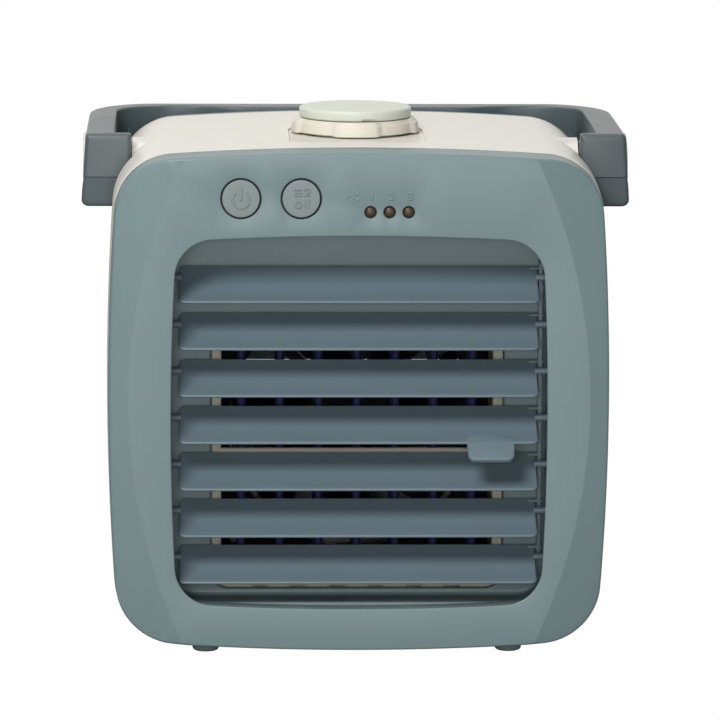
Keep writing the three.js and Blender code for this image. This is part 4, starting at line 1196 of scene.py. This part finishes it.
# ------------ handle
def handle_half_path(count=30):
    """Pairs of points (outer, inner) across the handle, from a hub's front to the middle of the bar."""
    outer_x, inner_x, back = HANDLE.outer, HANDLE.inner, HANDLE.back
    bar_front = HANDLE.bar_front
    pairs = []
    for k in range(7):
        t = 58 + (back - 32 - 58) * k / 7
        pairs.append(((outer_x, t), (inner_x, 58 + (bar_front - 17 - 58) * k / 7)))
    for k in range(count + 1):
        a = pi / 2 * k / count
        outer = (outer_x - 22 + 22 * cos(a), back - 32 + 32 * sin(a))
        inner = (inner_x - 20 + 20 * cos(a), bar_front - 17 + 17 * sin(a))
        pairs.append((outer, inner))
    start = pairs[-1]
    for k in range(1, 21):
        s = k / 20
        outer_point = (start[0][0] * (1 - s), back)
        x = start[1][0] * (1 - s)
        grip = min(1, max(0, (57 - x) / 18))
        swell = 4.9 * grip * grip * (3 - 2 * grip)
        pairs.append((outer_point, (x, bar_front - swell)))
    return pairs


def handle_low(t):
    if t < 79:
        return HANDLE.hub_low
    if t < 100:
        return HANDLE.hub_low + 4 * (t - 79) / 21
    return HANDLE.hub_low + 4 + (HANDLE.bar_low - HANDLE.hub_low - 4.4) * min(1, (t - 100) / 38)


def handle_high(t):
    return HANDLE.top - 0.5 * min(1, max(0, (t - 100) / 50))


def handle_section(outer, inner, low, high, pull=0.0):
    """A ring across the handle; pull shrinks it, for the rounding at an end."""
    dx, dt = outer[0] - inner[0], outer[1] - inner[1]
    width = hypot(dx, dt)
    ux, ut = dx / width, dt / width
    low, high = low + pull, high - pull
    near, far = pull, width - pull
    top_out, top_in = 1.2, 0.8
    bottom_out = min(2.4, PARTING - 0.1 - low)
    bottom_in = min(top_in, bottom_out)
    corners = (
        (far - top_out, high - top_out, top_out),
        (near + top_in, high - top_in, top_in),
        (near + bottom_in, low + bottom_in, bottom_in),
        (far - bottom_out, low + bottom_out, bottom_out),
    )
    points = []
    for quarter, (w, z, r) in enumerate(corners):
        for k in range(CORNER_POINTS):
            a = (quarter + k / (CORNER_POINTS - 1)) * pi / 2
            points.append((w + r * cos(a), z + r * sin(a)))
        if quarter == 1:
            points += [(near, z) for z in PARTING_STEP]
        if quarter == 3:
            points += [(far, z) for z in reversed(PARTING_STEP)]
    ring = []
    for w, z in points:
        share = (w - near) / (far - near)
        draft = HANDLE.draft * (HANDLE.top - z) / (HANDLE.top - HANDLE.hub_low) * share
        ring.append((inner[0] + ux * (w + draft), inner[1] + ut * w, z))
    return ring


def handle_front(ring, depth):
    """Moves an end ring to the hub's front face, whose lower half stands back a step and leans."""
    moved = []
    for x, _, z in ring:
        below = max(0, PARTING_STEP[0] - z)
        step = 0.45 * min(1, below / (PARTING_STEP[0] - PARTING_STEP[1]))
        moved.append((x, HANDLE.front + step + below * tan(radians(6)) + depth, z))
    return moved


def end_cap(skin, ring):
    """Closes an end ring with level strips, so that the face keeps its step."""
    n = CORNER_POINTS
    left = ring[n : 3 * n + 2]
    right = ring[n - 1 :: -1] + ring[:-3:-1] + ring[-3 : 3 * n + 1 : -1]
    for i in range(len(left) - 1):
        skin.faces.append((right[i], right[i + 1], left[i + 1], left[i]))


def make_handle_skin():
    low, high = HANDLE.hub_low, HANDLE.top
    soft = 1.6
    hub_outer, hub_inner, arm_inner = (HANDLE.outer, 0), (HUB.start, 0), (HANDLE.inner, 0)
    rings = []
    for s, c in reversed(arc_steps(6)):
        ring = handle_section(hub_outer, hub_inner, low, high, soft * c * 0.9)
        rings.append(handle_front(ring, soft * (1 - s)))
    flat = [(x, HUB.plate_back, z) for x, _, z in handle_section(hub_outer, hub_inner, low, high)]
    arm = [(x, HUB.plate_back, z) for x, _, z in handle_section(hub_outer, arm_inner, low, high)]
    rings += [flat, arm]
    for outer, inner in handle_half_path():
        rings.append(handle_section(outer, inner, handle_low(outer[1]), handle_high(outer[1])))
    other = [[(-x, t, z) for x, t, z in ring] for ring in reversed(rings[:-1])]
    skin = Skin()
    indices = skin.loft(rings + other, caps=False)
    end_cap(skin, indices[0])
    end_cap(skin, indices[-1])
    return skin.shape("handle_skin")


def make_handle():
    hinge, r = (HINGE.t, HINGE.z), HUB.radius
    start, end = HUB.start, HANDLE.outer - 1
    room = prism(body_outline(3.2, 2.2), HUB.plate_back + 0.1, 140.5)
    body = cut(make_handle_skin(), room)
    hubs, cuts = [], []
    for side in (1, -1):
        drum = [(side * start, r - 0.6), (side * (start + 0.6), r), (side * end, r)]
        hubs.append(turned("x", hinge, drum, steps=72))
        xs = sorted((side * start, side * end))
        hubs.append(block((xs[0], HUB.plate_back - 1.6, HUB.web_low), (xs[1], HINGE.t, HUB.web_high)))
        cuts.append(rod("x", hinge, side * 60, side * 100, 2.65, 32))
        cuts.append(rod("x", hinge, side * 88.4, side * 99, 5, 48))
        cuts.append(rod("x", hinge, side * (COVER.inner - 0.3), side * 98, COVER.seat, 96))
    finish(cut(join(body, *hubs), *cuts), "handle_plastic", "handle", body="carry_handle", sharp=40)


def make_pivot(name, side):
    hinge = (HINGE.t, HINGE.z)
    r, soft = COVER.radius, 0.6
    profile = [(COVER.inner, r)]
    profile += [(COVER.outer - soft * (1 - s), r - soft * c) for s, c in arc_steps(5)]
    cover = turned("x", hinge, [(side * x, radius) for x, radius in profile], name + "_disc", 96)
    xs = sorted((side * (COVER.outer - 0.7), side * (COVER.outer + 1)))
    t, z = hinge
    coin_slot = block((xs[0], t - 7.5, z + 6), (xs[1], t + 7.5, z + 7.2))
    finish(cut(cover, coin_slot), "ivory_plastic", f"pivot_cover_{name}", body="carry_handle", sharp=40)
    profile = [(62, 2.1), (62.6, 2.5), (88.5, 2.5), (88.5, 4.6), (90.3, 4.6), (90.8, 4.1)]
    screw = turned("x", hinge, [(side * x, radius) for x, radius in profile], name + "_pin", 48)
    finish(screw, "plated_steel", f"pivot_screw_{name}", sharp=40)


make_handle()
make_pivot("left", -1)
make_pivot("right", 1)
